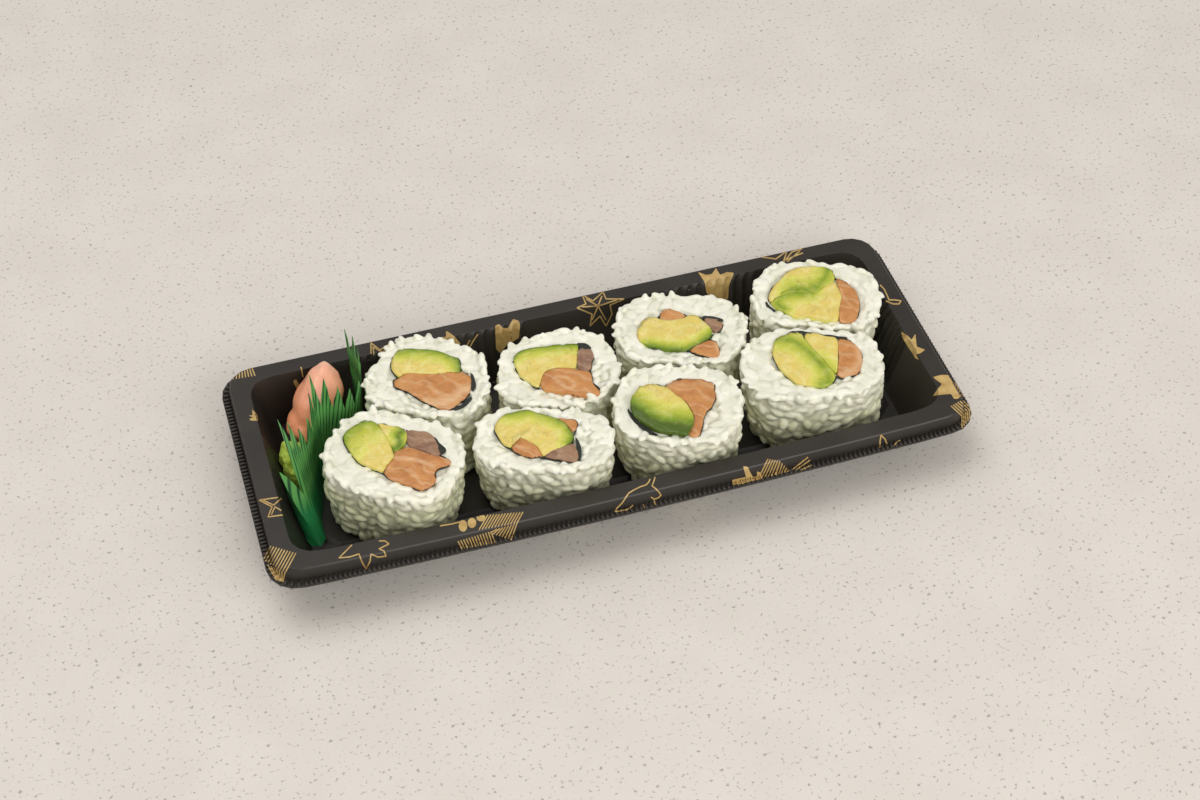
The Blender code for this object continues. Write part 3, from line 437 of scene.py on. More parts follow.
# %% Describe the cut faces
FACES = {
    "avocado_front1": (
        ((343, 436), (344, 442), (349, 450), (354, 457), (360, 463), (370, 467), (377, 470), (383, 472),
         (387, 466), (392, 460), (395, 456), (391, 447), (387, 438), (381, 429), (377, 424), (372, 421),
         (366, 420), (360, 422), (354, 426), (348, 430)),
        (368, 445), 0.5, ((342, 444), (343, 434), (352, 424), (366, 418), (376, 420)), 30.0, 0.78),
    "avocado_bit_front1": (
        ((378, 423), (385, 425), (392, 427), (399, 427), (404, 430), (407, 434), (407, 440), (404, 446),
         (400, 449), (395, 453), (391, 446), (387, 438), (382, 430)),
        (396, 437), 0.3, ((403, 430), (398, 436), (400, 446), (393, 450)), 14.0, 0.85),
    "salmon_dark_front1": (
        ((405, 430), (411, 430), (418, 432), (426, 432), (432, 435), (436, 441), (439, 448), (442, 453),
         (437, 456), (430, 454), (424, 451), (416, 449), (410, 447), (406, 440)),
        (422, 442), 0.0, (), 1.0, 0.0),
    "salmon_front1": (
        ((384, 473), (387, 466), (393, 459), (394, 453), (398, 449), (405, 447), (412, 448), (420, 451),
         (430, 455), (440, 457), (449, 458), (452, 462), (447, 465), (441, 466), (436, 470), (434, 476),
         (437, 480), (433, 485), (428, 488), (421, 490), (414, 487), (405, 485), (396, 481), (388, 478)),
        (415, 467), 0.4, ((396, 459), (410, 460), (424, 463), (434, 468)), 2.5, 0.9),
    "avocado_back1": (
        ((391, 363), (393, 356), (396, 351), (402, 349), (412, 349), (424, 350), (436, 351), (446, 354),
         (452, 357), (458, 357), (460, 362), (461, 371), (454, 372), (444, 373), (434, 374), (424, 374),
         (412, 373), (404, 373), (399, 376), (395, 374), (391, 369)),
        (425, 362), 0.4, ((396, 347), (424, 347), (446, 351), (461, 360), (462, 373)), 17.0, 0.95),
    "salmon_back1": (
        ((399, 377), (404, 373), (414, 373), (426, 374), (436, 374), (446, 373), (454, 372), (462, 371),
         (468, 374), (472, 377), (472, 384), (470, 392), (466, 398), (460, 403), (454, 407), (448, 409),
         (440, 409), (433, 406), (425, 402), (415, 396), (407, 391), (400, 388), (394, 386), (393, 381)),
        (434, 388), 0.1, ((428, 403), (442, 403), (454, 399), (462, 391), (470, 388)), 7.0, 1.2),
    "avocado_front2": (
        ((494, 429), (496, 424), (500, 418), (506, 414), (513, 413), (520, 411), (528, 410), (536, 413),
         (544, 415), (552, 417), (560, 420), (566, 424), (571, 430), (574, 436), (573, 441), (568, 444),
         (562, 447), (555, 449), (549, 452), (543, 456), (540, 450), (536, 445), (530, 442), (524, 439),
         (518, 437), (512, 436), (512, 447), (506, 446), (501, 442), (497, 435)),
        (532, 428), 0.5, ((508, 411), (530, 407), (552, 414), (568, 422), (576, 436), (572, 444)), 17.0,
        0.92),
    "salmon_front2": (
        ((512, 437), (518, 437), (525, 440), (531, 443), (536, 446), (540, 451), (543, 456), (537, 457),
         (530, 457), (521, 454), (513, 451), (511, 444)),
        (525, 448), 0.1, ((516, 446), (530, 450)), 2.0, 0.6),
    "salmon_dark_front2": (
        ((543, 456), (549, 452), (556, 449), (563, 446), (569, 445), (574, 443), (576, 448), (578, 454),
         (579, 460), (573, 462), (566, 461), (558, 459), (550, 458)),
        (565, 453), 0.0, ((558, 458), (562, 448)), 2.0, 0.7),
    "salmon_tip_front2": (
        ((556, 418), (562, 419), (568, 420), (575, 420), (578, 424), (576, 429), (573, 432), (570, 428),
         (566, 424), (561, 421)),
        (570, 424), 0.0, (), 1.0, 0.0),
    "avocado_back2": (
        ((513, 359), (516, 354), (521, 351), (528, 349), (536, 348), (546, 347), (556, 345), (564, 344),
         (572, 344), (578, 344), (578, 350), (577, 356), (577, 362), (576, 368), (568, 368), (560, 368),
         (553, 368), (547, 370), (543, 375), (541, 380), (539, 387), (534, 386), (529, 382), (524, 379),
         (520, 377), (517, 370), (514, 364)),
        (540, 363), 0.4, ((511, 356), (521, 348), (546, 344), (579, 341)), 15.0, 0.95),
    "salmon_dark_back2": (
        ((577, 352), (580, 349), (585, 347), (590, 348), (593, 353), (594, 357), (591, 362), (592, 367),
         (589, 371), (584, 372), (580, 370), (577, 366), (577, 358)),
        (585, 360), 0.0, ((583, 349), (585, 370)), 1.5, 0.3),
    "salmon_back2": (
        ((540, 386), (541, 379), (544, 373), (550, 370), (558, 368), (566, 368), (574, 369), (582, 371),
         (590, 372), (592, 376), (592, 382), (595, 387), (600, 389), (601, 392), (596, 397), (590, 397),
         (582, 396), (574, 394), (566, 393), (558, 392), (550, 391), (544, 390)),
        (568, 382), 0.4, ((553, 379), (560, 377), (568, 379), (575, 384), (572, 389), (563, 387),
        (556, 382)), 2.2, 0.9),
    "avocado_front3": (
        ((631, 399), (634, 393), (640, 387), (648, 384), (656, 384), (664, 386), (670, 390), (675, 395),
         (682, 399), (687, 404), (690, 410), (693, 414), (694, 420), (693, 426), (690, 431), (688, 435),
         (680, 434), (670, 433), (660, 432), (654, 429), (648, 425), (640, 420), (634, 416), (631, 410),
         (630, 404)),
        (662, 408), 1.2, ((630, 414), (646, 426), (660, 432), (690, 434)), 33.0, 1.25),
    "salmon_front3": (
        ((665, 385), (670, 382), (676, 379), (684, 379), (694, 379), (704, 380), (712, 381), (715, 384),
         (714, 390), (716, 396), (714, 401), (712, 406), (707, 410), (705, 415), (703, 420), (703, 425),
         (701, 430), (700, 436), (694, 437), (689, 437), (688, 433), (691, 430), (694, 425), (695, 419),
         (693, 413), (690, 407), (687, 402), (681, 398), (675, 394), (670, 390)),
        (699, 408), 0.1, ((672, 383), (686, 386), (700, 384), (712, 388)), 2.5, 0.5),
    "avocado_back3": (
        ((637, 337), (637, 331), (640, 326), (643, 321), (648, 317), (655, 317), (661, 320), (668, 321),
         (676, 320), (682, 318), (688, 316), (694, 315), (700, 317), (705, 322), (710, 327), (713, 331),
         (711, 336), (706, 340), (700, 343), (694, 346), (688, 349), (684, 351), (676, 350), (668, 349),
         (660, 348), (652, 347), (646, 345), (641, 342)),
        (674, 334), 0.5, ((648, 348), (668, 351), (686, 352), (702, 344), (714, 335)), 13.0, 0.98),
    "salmon_top_back3": (
        ((660, 319), (660, 314), (664, 310), (669, 309), (675, 311), (681, 312), (686, 315), (683, 318),
         (676, 321), (668, 321), (662, 320)),
        (672, 316), 0.2, (), 1.0, 0.0),
    "salmon_back3": (
        ((689, 350), (696, 346), (703, 343), (710, 340), (716, 342), (719, 348), (720, 353), (718, 357),
         (710, 357), (702, 355), (696, 353)),
        (708, 350), 0.0, ((716, 342), (718, 352)), 3.0, 0.8),
    "salmon_dark_back3": (
        ((703, 317), (710, 319), (718, 320), (723, 322), (722, 328), (717, 331), (713, 331), (709, 326),
         (705, 321)),
        (715, 325), -0.1, (), 1.0, 0.0),
    "avocado_front4": (
        ((773, 346), (775, 339), (780, 336), (787, 334), (793, 332), (800, 332), (803, 335), (805, 339),
         (808, 343), (812, 348), (817, 353), (822, 358), (826, 364), (830, 369), (834, 373), (836, 378),
         (832, 383), (826, 386), (820, 387), (812, 386), (804, 385), (797, 384), (791, 379), (785, 374),
         (779, 368), (775, 361), (772, 354)),
        (805, 364), 0.5, ((776, 339), (792, 340), (806, 350), (818, 361), (826, 371), (830, 382),
        (822, 384)), 16.0, 0.72),
    "avocado_second_front4": (
        ((804, 334), (810, 333), (818, 334), (828, 337), (836, 338), (838, 343), (838, 350), (838, 356),
         (838, 364), (837, 373), (831, 369), (826, 363), (821, 357), (815, 351), (809, 344), (805, 339)),
        (825, 348), 0.3, ((822, 362), (836, 374)), 14.0, 0.55),
    "salmon_front4": (
        ((838, 338), (846, 339), (851, 341), (856, 346), (860, 350), (862, 356), (862, 362), (861, 368),
         (858, 373), (850, 375), (842, 377), (837, 375), (838, 366), (839, 358), (838, 350)),
        (849, 357), 0.1, ((858, 348), (861, 362), (852, 372), (842, 375)), 5.0, 0.9),
    "avocado_back4": (
        ((768, 298), (770, 292), (774, 286), (780, 280), (786, 274), (792, 270), (800, 268), (812, 267),
         (824, 267), (831, 270), (835, 276), (834, 282), (827, 286), (821, 290), (816, 295), (810, 291),
         (802, 290), (792, 290), (784, 291), (779, 294), (774, 299), (770, 302)),
        (806, 281), 0.5, ((830, 266), (826, 276), (818, 288), (806, 290), (790, 291)), 17.0, 0.74),
    "avocado_second_back4": (
        ((770, 302), (775, 298), (780, 293), (786, 291), (794, 290), (802, 290), (810, 292), (816, 294),
         (822, 290), (828, 285), (834, 281), (837, 286), (840, 292), (842, 298), (840, 304), (839, 310),
         (839, 316), (838, 321), (830, 320), (822, 319), (814, 318), (806, 316), (799, 318), (792, 316),
         (784, 312), (778, 309), (773, 306)),
        (813, 304), 0.6, ((812, 293), (792, 294), (780, 298), (777, 304), (784, 309)), 14.0, 0.72),
    "salmon_back4": (
        ((836, 277), (841, 280), (848, 284), (855, 290), (858, 297), (860, 304), (859, 311), (857, 318),
         (853, 323), (846, 323), (840, 322), (839, 315), (839, 306), (841, 299), (840, 292), (838, 286)),
        (849, 303), 0.1, ((841, 290), (845, 300), (852, 308)), 2.0, 0.5),
}
print(len(FACES), "cut faces")


# %% [markdown]
# The outlines are used more than once, for the fillings, the seaweed and the rice that they hide. So three
# helpers measure how far a place lies from a line, add places along an outline, and tell inside from
# outside. The heights of the rolls' tops and the shift of their feet follow the solids.

# %% Measure outlines in the picture
def far_from(px, py, line):
    """Distance in the picture to a line of places."""
    best = 1e9
    for (ax, ay), (bx, by) in zip(line, line[1:]):
        run = (bx - ax) ** 2 + (by - ay) ** 2
        share = min(1.0, max(0.0, ((px - ax) * (bx - ax) + (py - ay) * (by - ay)) / run))
        best = min(best, math.hypot(px - ax - share * (bx - ax), py - ay - share * (by - ay)))
    return best


def refine(outline, step=2.2):
    """More places along a closed outline, rounded once at the corners."""
    places = []
    outline = list(outline)
    for (ax, ay), (bx, by) in zip(outline, outline[1:] + outline[:1]):
        count = max(1, round(math.hypot(bx - ax, by - ay) / step))
        places += [(ax + (bx - ax) * i / count, ay + (by - ay) * i / count) for i in range(count)]
    count = len(places)
    return [tuple((places[i - 1][k] + 2.0 * places[i][k] + places[(i + 1) % count][k]) / 4.0 for k in (0, 1))
            for i in range(count)]


def inside_outline(px, py, outline):
    """True where a picture place lies inside a closed outline."""
    within = False
    for (ax, ay), (bx, by) in zip(outline, outline[1:] + outline[:1]):
        if (ay > py) != (by > py) and px < ax + (bx - ax) * (py - ay) / (by - ay):
            within = not within
    return within


ROLL_FLOOR = 2.1
TOPS = {
    "front1": 29.1, "back1": 28.1, "front2": 28.6, "back2": 27.9, "front3": 28.9, "back3": 28.1,
    "front4": 29.3, "back4": 28.5,
}
FEET = {
    "front1": (-1.5, 3.8), "back1": (0.5, -1.0), "front2": (0.8, 4.4), "back2": (0.0, 0.0),
    "front3": (1.6, 5.0), "back3": (0.0, 0.0), "front4": (2.2, 2.0), "back4": (-2.0, -0.5),
}
print("tops of the rolls:", TOPS)

# %% [markdown]
# ## Sizes of the rolls
# In the solids each roll's rice is a ring. The rice here also has to fill the gaps between the fillings, so
# a plug goes into the ring's hole. The numbers are those of the solids: the middle of the hole, its half
# widths and its turn.

# %% Note the holes of the rolls
HOLES = {
    "front1": ((-64.3, -15.6), (17.6, 10.2), -50),
    "back1": ((-47.1, 13.3), (14.6, 10.6), -62),
    "front2": ((-21.5, -21.2), (14.8, 9.4), -33),
    "back2": ((-8.6, 4.4), (14.8, 10.6), -50),
    "front3": ((19.4, -22.0), (13.2, 11.8), 3),
    "back3": ((31.4, 9.6), (13.9, 10.2), -36),
    "front4": ((66.8, -15.4), (13.9, 11.9), -31),
    "back4": ((76.9, 12.2), (15.0, 11.8), -49),
}
print(len(HOLES), "holes")

# %% [markdown]
# ## Rice
# Each roll is rice outside and filling inside. Rice can be a bumpy skin, but up close the eye wants single
# grains. So the roll gets a lumpy core, and one grain, modelled once, is copied over it a few hundred
# times. Each copy is turned and sunk a little differently, and on top, where the knife has passed, the
# copies are cut flat. Cooked grains stick together, so core and grains are then fused into one skin.

# %% Model one grain
GRAIN_HALVES = (2.75, 1.40, 1.20)
GRAIN_BEND, GRAIN_TAPER = 0.34, 0.12
bpy.ops.object.select_all(action="DESELECT")
bpy.ops.mesh.primitive_ico_sphere_add(subdivisions=2, radius=1.0)
grain = bpy.context.object
bpy.ops.object.mode_set(mode="EDIT")
bpy.ops.transform.resize(value=GRAIN_HALVES)
bpy.ops.object.mode_set(mode="OBJECT")
for vertex in grain.data.vertices:
    along_it = vertex.co.x / GRAIN_HALVES[0]
    vertex.co.y += GRAIN_BEND * along_it * along_it
    vertex.co.y *= 1.0 + GRAIN_TAPER * along_it
GRAIN_POINTS = np.array([tuple(v.co) for v in grain.data.vertices])
GRAIN_FACES = np.array([tuple(p.vertices) for p in grain.data.polygons])
bpy.data.objects.remove(grain)
print("one grain:", len(GRAIN_FACES), "faces")


# %% [markdown]
# Grains lie close but not on top of each other. Places are drawn at random over the surface, and a place is
# kept only if no earlier one is nearer than the spacing. A grid of cells makes that test quick.

# %% Scatter places over a surface
def scatter(mesh, spacing, rng, wanted, tries):
    """Random places on a mesh that pass a test, none nearer to another than the spacing, in millimetres."""
    mesh.calc_loop_triangles()
    points = np.array([tuple(v.co) for v in mesh.vertices]) / MM
    corners = np.array([tuple(t.vertices) for t in mesh.loop_triangles])
    a, b, c = points[corners[:, 0]], points[corners[:, 1]], points[corners[:, 2]]
    normals = np.cross(b - a, c - a)
    areas = np.linalg.norm(normals, axis=1)
    normals = normals / np.maximum(areas, 1e-9)[:, None]
    picks = rng.choice(len(corners), size=tries, p=areas / areas.sum())
    u, v = rng.random(tries), rng.random(tries)
    folded = u + v > 1.0
    u[folded], v[folded] = 1.0 - u[folded], 1.0 - v[folded]
    places = a[picks] + (b - a)[picks] * u[:, None] + (c - a)[picks] * v[:, None]
    cells, found = {}, []
    for place_at, normal in zip(places, normals[picks]):
        if not wanted(place_at, normal):
            continue
        key = tuple(int(q // spacing) for q in place_at)
        near = [p for i in (-1, 0, 1) for j in (-1, 0, 1) for k in (-1, 0, 1)
                for p in cells.get((key[0] + i, key[1] + j, key[2] + k), ())]
        if any(((place_at - p) ** 2).sum() < spacing * spacing for p in near):
            continue
        cells.setdefault(key, []).append(place_at)
        found.append((place_at, normal))
    return found


def frame_on(normal, spin):
    """Three directions: along a grain, across it, and out of the surface."""
    side = np.cross(normal, (0.0, 0.0, 1.0) if abs(normal[2]) < 0.9 else (1.0, 0.0, 0.0))
    side = side / np.linalg.norm(side)
    other = np.cross(normal, side)
    along_it = side * math.cos(spin) + other * math.sin(spin)
    return np.array((along_it, np.cross(normal, along_it), normal))


# %% [markdown]
# Cooked rice is white but lets some light in, which softens its shades. The sides look faintly green and grey
# where light has come through wet grains and where they lie in shade, and both are painted: the finish mixes
# two whites by values that each point carries, the side value painting shade that deepens down each side, and
# uses subsurface scattering of about a millimetre.

# %% Mix the rice finish
BLACK, WHITE = (0.0, 0.0, 0.0), (1.0, 1.0, 1.0)
rice_white = finish("rice_white", (0.90, 0.88, 0.76), 0.36, Subsurface_Weight=0.32, Subsurface_Scale=0.0014,
                    Subsurface_Radius=(1.0, 0.95, 0.6))
grain_shade = node(rice_white, "ShaderNodeAttribute", attribute_name="shade").outputs["Fac"]
wet_shade = node(rice_white, "ShaderNodeAttribute", attribute_name="side").outputs["Fac"]
dry = shades(rice_white, grain_shade, (0.0, (0.80, 0.79, 0.67)), (0.4, (0.86, 0.85, 0.73)),
             (1.0, (0.94, 0.92, 0.80)))
# Painted shade: the greyer, greener and darker white of the sides, which comes in further down each side.
wet = shades(rice_white, grain_shade, (0.0, (0.66, 0.66, 0.43)), (0.5, (0.77, 0.76, 0.52)),
             (1.0, (0.90, 0.88, 0.64)))
damp = shades(rice_white, grain_noise(rice_white, 5.5, 2.0), (0.36, (0.70, 0.70, 0.70)), (0.58, WHITE))
plain = blend(rice_white, wet_shade, dry, wet)
groove = node(rice_white, "ShaderNodeAttribute", attribute_name="groove").outputs["Fac"]
# Painted shade: the groove value darkens the crevices between the grains to grey-green.
shaded = shades(rice_white, groove, (0.12, BLACK), (1.0, (0.68, 0.68, 0.68)))
mixed = blend(rice_white, damp, (0.66, 0.66, 0.48), plain)
colour_from(rice_white, blend(rice_white, shaded, mixed, (0.42, 0.44, 0.29)))
relief(rice_white, grain_noise(rice_white, 0.5, 2.0), 0.03)
print("rice finish mixed")


# %% [markdown]
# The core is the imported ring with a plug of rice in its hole, remeshed and made lumpy. Its sides are pulled
# in, so that the grains on them come out at the real size, and pressed to the outline in the photo.

# %% Choose the sizes of the core
def add_values(piece, name, values):
    """Stores one number for each point of a piece, which a finish can read by name."""
    layer = piece.data.attributes.new(name, "FLOAT", "POINT")
    layer.data.foreach_set("value", np.asarray(values, dtype=np.float32))


# Sizes of the core in millimetres: its lumps, the inset of its sides, the plug, and how far it sits forward.
CORE_CELL, CORE_INSET = 0.8, 0.95
LUMP_SIZE, LUMP_DEPTH = 2.4, 0.5
PLUG_POINTS, PLUG_EXTRA, PLUG_FOOT, PLUG_SINK = 48, 0.8, 1.0, 1.5
FORWARD, FOOT_FORWARD_FRONT, FOOT_FORWARD_BACK = 0.8, 1.0, 0.4
CORE_SINK = 0.25
# How far the left and the right side of each roll stand further to the right than in the solids, in
# millimetres.
PRESSED = {
    "front1": (0.3, -1.9), "back1": (-1.2, -1.3), "front2": (-1.0, 0.5), "back2": (-0.8, 0.6),
    "front3": (0.0, 0.2), "back3": (0.3, 0.8), "front4": (-0.6, 0.4), "back4": (-0.6, 0.7),
}


# %% Make one core
def make_core(name):
    """The roll's own lumpy body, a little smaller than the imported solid, with rice in its hole too."""
    core = merged_copy("rice_" + name, "rice_core_" + name)
    (mx, my), (a, b), degrees = HOLES[name]
    low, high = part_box("rice_" + name)
    z_low, z_high = low[2] + PLUG_FOOT * MM, high[2] - PLUG_SINK * MM
    bpy.ops.object.select_all(action="DESELECT")
    bpy.ops.mesh.primitive_cylinder_add(vertices=PLUG_POINTS, radius=1.0, depth=1.0)
    plug = bpy.context.object
    bpy.ops.transform.resize(value=((a + PLUG_EXTRA) * MM, (b + PLUG_EXTRA) * MM, z_high - z_low))
    bpy.ops.object.transform_apply(location=False, rotation=True, scale=True)
    spin = Matrix.Rotation(math.radians(degrees), 4, "Z")
    plug.data.transform(spin)
    plug.data.transform(Matrix.Translation((mx * MM, (my + RIM_MIDDLE_Y) * MM, (z_low + z_high) / 2.0)))
    core.select_set(True)
    bpy.context.view_layer.objects.active = core
    bpy.ops.object.join()
    apply_modifier(core, "REMESH", mode="VOXEL", voxel_size=CORE_CELL * MM)
    apply_modifier(core, "SMOOTH", factor=0.5, iterations=6)
    clouds = bpy.data.textures.new("clouds", "CLOUDS")
    clouds.noise_scale = LUMP_SIZE * MM
    apply_modifier(core, "DISPLACE", texture=clouds, strength=LUMP_DEPTH * MM, mid_level=0.8,
                   texture_coords="LOCAL")
    foot_forward = FOOT_FORWARD_FRONT if name.startswith("front") else FOOT_FORWARD_BACK
    to_left, to_right = PRESSED[name]
    normals = [vertex.normal.copy() for vertex in core.data.vertices]
    for vertex, normal in zip(core.data.vertices, normals):
        sides = 1.0 - abs(normal.z)
        to_side = (vertex.co.x - (low[0] + high[0]) / 2.0) / ((high[0] - low[0]) / 2.0)
        to_side = max(-1.0, min(1.0, to_side))
        vertex.co.x += (to_right * max(0.0, to_side) + to_left * max(0.0, -to_side)) * MM
        vertex.co -= normal * CORE_INSET * sides * MM
        share = min(1.0, max(0.0, (vertex.co.z / MM - ROLL_FLOOR) / (TOPS[name] - ROLL_FLOOR)))
        vertex.co.y -= (FORWARD + foot_forward * (1.0 - share)) * MM
        vertex.co.z = min(vertex.co.z, (TOPS[name] - CORE_SINK) * MM)
    return core


print("the core's sides stand in by", CORE_INSET, "mm")


# %% [markdown]
# Between the grains less light comes back. A point's groove value says how deep it lies below the skin when
# that is evened out, and the finish darkens the colour by it.

# %% Measure the grooves
def grooves(mesh, rounds):
    """How deep each point lies below the evened-out surface about it, in millimetres."""
    points = np.empty(len(mesh.vertices) * 3)
    mesh.vertices.foreach_get("co", points)
    points = points.reshape(-1, 3) / MM
    normals = np.array([tuple(v.normal) for v in mesh.vertices])
    ends = np.array([tuple(e.vertices) for e in mesh.edges])
    even = points.copy()
    for _ in range(rounds):
        total, count = np.zeros_like(even), np.zeros(len(even))
        for here, there in ((0, 1), (1, 0)):
            np.add.at(total, ends[:, here], even[ends[:, there]])
            np.add.at(count, ends[:, here], 1.0)
        even = total / count[:, None]
    return np.clip(((even - points) * normals).sum(axis=1), 0.0, None)


# %% [markdown]
# Now each roll is covered. Grains that a cut face would hide are left out. After the grains are joined to
# the core, a voxel remesh fuses them, and every point takes the shade of the grain nearest to it.

# %% Choose the spacing of the grains
from mathutils.kdtree import KDTree

# Spacing, sinking and depth are in millimetres.
FIRST_SEED = 300
SIDE_SPACING, SIDE_TRIES = 2.95, 9000
TOP_SPACING, TOP_TRIES = 2.7, 6000
SUNK_LEAST, SUNK_MOST = 0.05, 0.60
CUT_LOW, CUT_HIGH = -0.25, 0.15
TILT, TOP_BAND = 0.08, 4.0
RICE_CELL = 0.37
GROOVE_ROUNDS, GROOVE_DEPTH = 9, 0.20
# Painted shade: the side of the first front roll is darker than the others, so it gets its own values: darker
# grains and side shade that comes in sooner.
DIM_ROLL, DIM_SHADE, DIM_DEPTH, WET_DEPTH = "front1", 0.1, 7.0, 12.0
# How steep a place is, as the height of its normal: from overhang to edge for the sides, and for the rim.
SIDE_SLOPES, RIM_SLOPES = (-0.5, 0.6), (0.2, 0.93)
FOOT_BARE, WET_START = 3.0, 0.5
COVER_STEP, COVER_MARGIN = 3.0, 0.8
SMALLEST, LARGEST, RIM_TURN = 0.84, 1.04, 0.5
print("grains are", SIDE_SPACING, "mm apart on the sides and", TOP_SPACING, "mm on top")

# %% Cover the rolls
for salt, name in enumerate(HOLES):
    rng = np.random.default_rng(FIRST_SEED + salt)
    core = make_core(name)
    top = TOPS[name]
    outlines = [refine(FACES[solid][0], COVER_STEP) for solid in FACES if solid.endswith("_" + name)]

    def covered(p, margin=0.0):
        """True where a cut face hides the rice, or comes nearer than the margin in the picture."""
        px, py = seen_at(Vector(p) * MM)
        return any(inside_outline(px, py, edge) or far_from(px, py, edge + edge[:1]) < margin
                   for edge in outlines)

    def on_side(p, n):
        return SIDE_SLOPES[0] < n[2] < SIDE_SLOPES[1] and p[2] > FOOT_BARE

    def on_top(p, n):
        return n[2] >= SIDE_SLOPES[1] and p[2] > top - TOP_BAND

    places = [(p, n, True) for p, n in scatter(core.data, SIDE_SPACING, rng, on_side, SIDE_TRIES)]
    places += [(p, n, False) for p, n in scatter(core.data, TOP_SPACING, rng, on_top, TOP_TRIES)
               if not covered(p, COVER_MARGIN)]
    points, faces, shade = [], [], []
    for p, n, is_side in places:
        tilted = n + TILT * rng.normal(size=3)
        tilted = tilted / np.linalg.norm(tilted)
        at_rim = RIM_SLOPES[0] < n[2] < RIM_SLOPES[1]
        spin = rng.uniform(-RIM_TURN, RIM_TURN) if at_rim else rng.random() * 2.0 * math.pi
        grain_points = (GRAIN_POINTS * rng.uniform(SMALLEST, LARGEST)) @ frame_on(tilted, spin) + p
        grain_points -= n * rng.uniform(SUNK_LEAST, SUNK_MOST)
        if not is_side:
            grain_points[:, 2] = np.minimum(grain_points[:, 2], top + rng.uniform(CUT_LOW, CUT_HIGH))
        faces.append(GRAIN_FACES + len(points) * len(GRAIN_POINTS))
        points.append(grain_points)
        shade.append(rng.random())
    loose = new_piece("rice_grains_" + name, [tuple(q) for q in np.concatenate(points) * MM],
                      [tuple(f) for f in np.concatenate(faces)])
    bpy.ops.object.select_all(action="DESELECT")
    loose.select_set(True)
    core.select_set(True)
    bpy.context.view_layer.objects.active = loose
    bpy.ops.object.join()
    apply_modifier(loose, "REMESH", mode="VOXEL", voxel_size=RICE_CELL * MM)
    add_values(loose, "groove", grooves(loose.data, GROOVE_ROUNDS) / GROOVE_DEPTH)
    nearest = KDTree(len(places))
    for i, (p, _, _) in enumerate(places):
        nearest.insert(p, i)
    nearest.balance()
    heights = np.array([v.co.z / MM for v in loose.data.vertices])
    # Painted shade: on the first front roll's side the grains are darkened.
    dimmer = DIM_SHADE if name == DIM_ROLL else 1.0
    own_shade = [shade[nearest.find(v.co / MM)[1]] for v in loose.data.vertices]
    dimming = [dimmer if height < top - TOP_BAND else 1.0 for height in heights]
    add_values(loose, "shade", [value * dim for value, dim in zip(own_shade, dimming)])
    # Painted shade: the side value grows from just below the top down each roll's side.
    wet_depth = DIM_DEPTH if name == DIM_ROLL else WET_DEPTH
    add_values(loose, "side", np.clip((top - WET_START - heights) / wet_depth, 0.0, 1.0))
    loose.data.shade_smooth()
    place(loose, "rice", rice_white, "rice_" + name)
    print(loose.name, len(places), "grains,", len(loose.data.polygons), "faces")

# %% [markdown]
# ## Seaweed
# Between rice and filling runs a sheet of toasted seaweed, cut through with the roll. Only its torn black
# edge shows. The edge is a loop laid round all fillings of a roll, torn up and down by noise, extruded down
# to the foot and thickened. It narrows downward, so that it stays inside the rice.

# %% Mix the seaweed finish
from mathutils import noise

noise.seed_set(5)
seaweed_black = finish("seaweed_black", (0.016, 0.018, 0.012), 0.50)
flecks = shades(seaweed_black, grain_noise(seaweed_black, 0.9, 3.0), (0.35, (0.006, 0.008, 0.006)),
                (0.75, (0.022, 0.030, 0.016)))
colour_from(seaweed_black, flecks)
relief(seaweed_black, grain_noise(seaweed_black, 0.5, 3.0), 0.08)
print("seaweed finish mixed")


# %% Find the outer edge of the fillings
def nudge(piece, size_mm, depth_mm, seed):
    """Moves every point by soft noise whose lumps and depth are given in millimetres."""
    offset = Vector((seed * 13.7, seed * 5.1, seed * 9.3))
    for vertex in piece.data.vertices:
        vertex.co += noise.noise_vector(vertex.co / (size_mm * MM) + offset) * depth_mm * MM


EDGE_POINTS = 96
LOOP_STEP, LOOP_MARGIN = 1.6, 2.2


def seaweed_loop(name):
    """The outer edge of a roll's cut faces together, in picture places, by angle about their middle."""
    edges = [refine(FACES[solid][0], LOOP_STEP) for solid in FACES if solid.endswith("_" + name)]
    outer = [p for k, edge in enumerate(edges) for p in edge
             if not any(inside_outline(*p, other) or far_from(*p, other + other[:1]) < LOOP_MARGIN
                        for m, other in enumerate(edges) if m != k)]
    cx = sum(p[0] for p in outer) / len(outer)
    cy = sum(p[1] for p in outer) / len(outer)
    bins = {}
    for px, py in outer:
        slot = int((math.atan2(py - cy, px - cx) + math.pi) / (2.0 * math.pi) * EDGE_POINTS) % EDGE_POINTS
        bins[slot] = max(bins.get(slot, 0.0), math.hypot(px - cx, py - cy))
    known = sorted(bins)
    loop = []
    for slot in range(EDGE_POINTS):
        after = next((k for k in known if k >= slot), known[0] + EDGE_POINTS)
        before = next((k for k in reversed(known) if k <= slot), known[-1] - EDGE_POINTS)
        part = 0.0 if after == before else (slot - before) / (after - before)
        radius = bins[before % EDGE_POINTS] * (1.0 - part) + bins[after % EDGE_POINTS] * part
        angle = (slot + 0.5) / EDGE_POINTS * 2.0 * math.pi - math.pi
        loop.append((cx + radius * math.cos(angle), cy + radius * math.sin(angle)))
    return loop


for name in HOLES:
    print(name, len(seaweed_loop(name)), "places round the fillings")

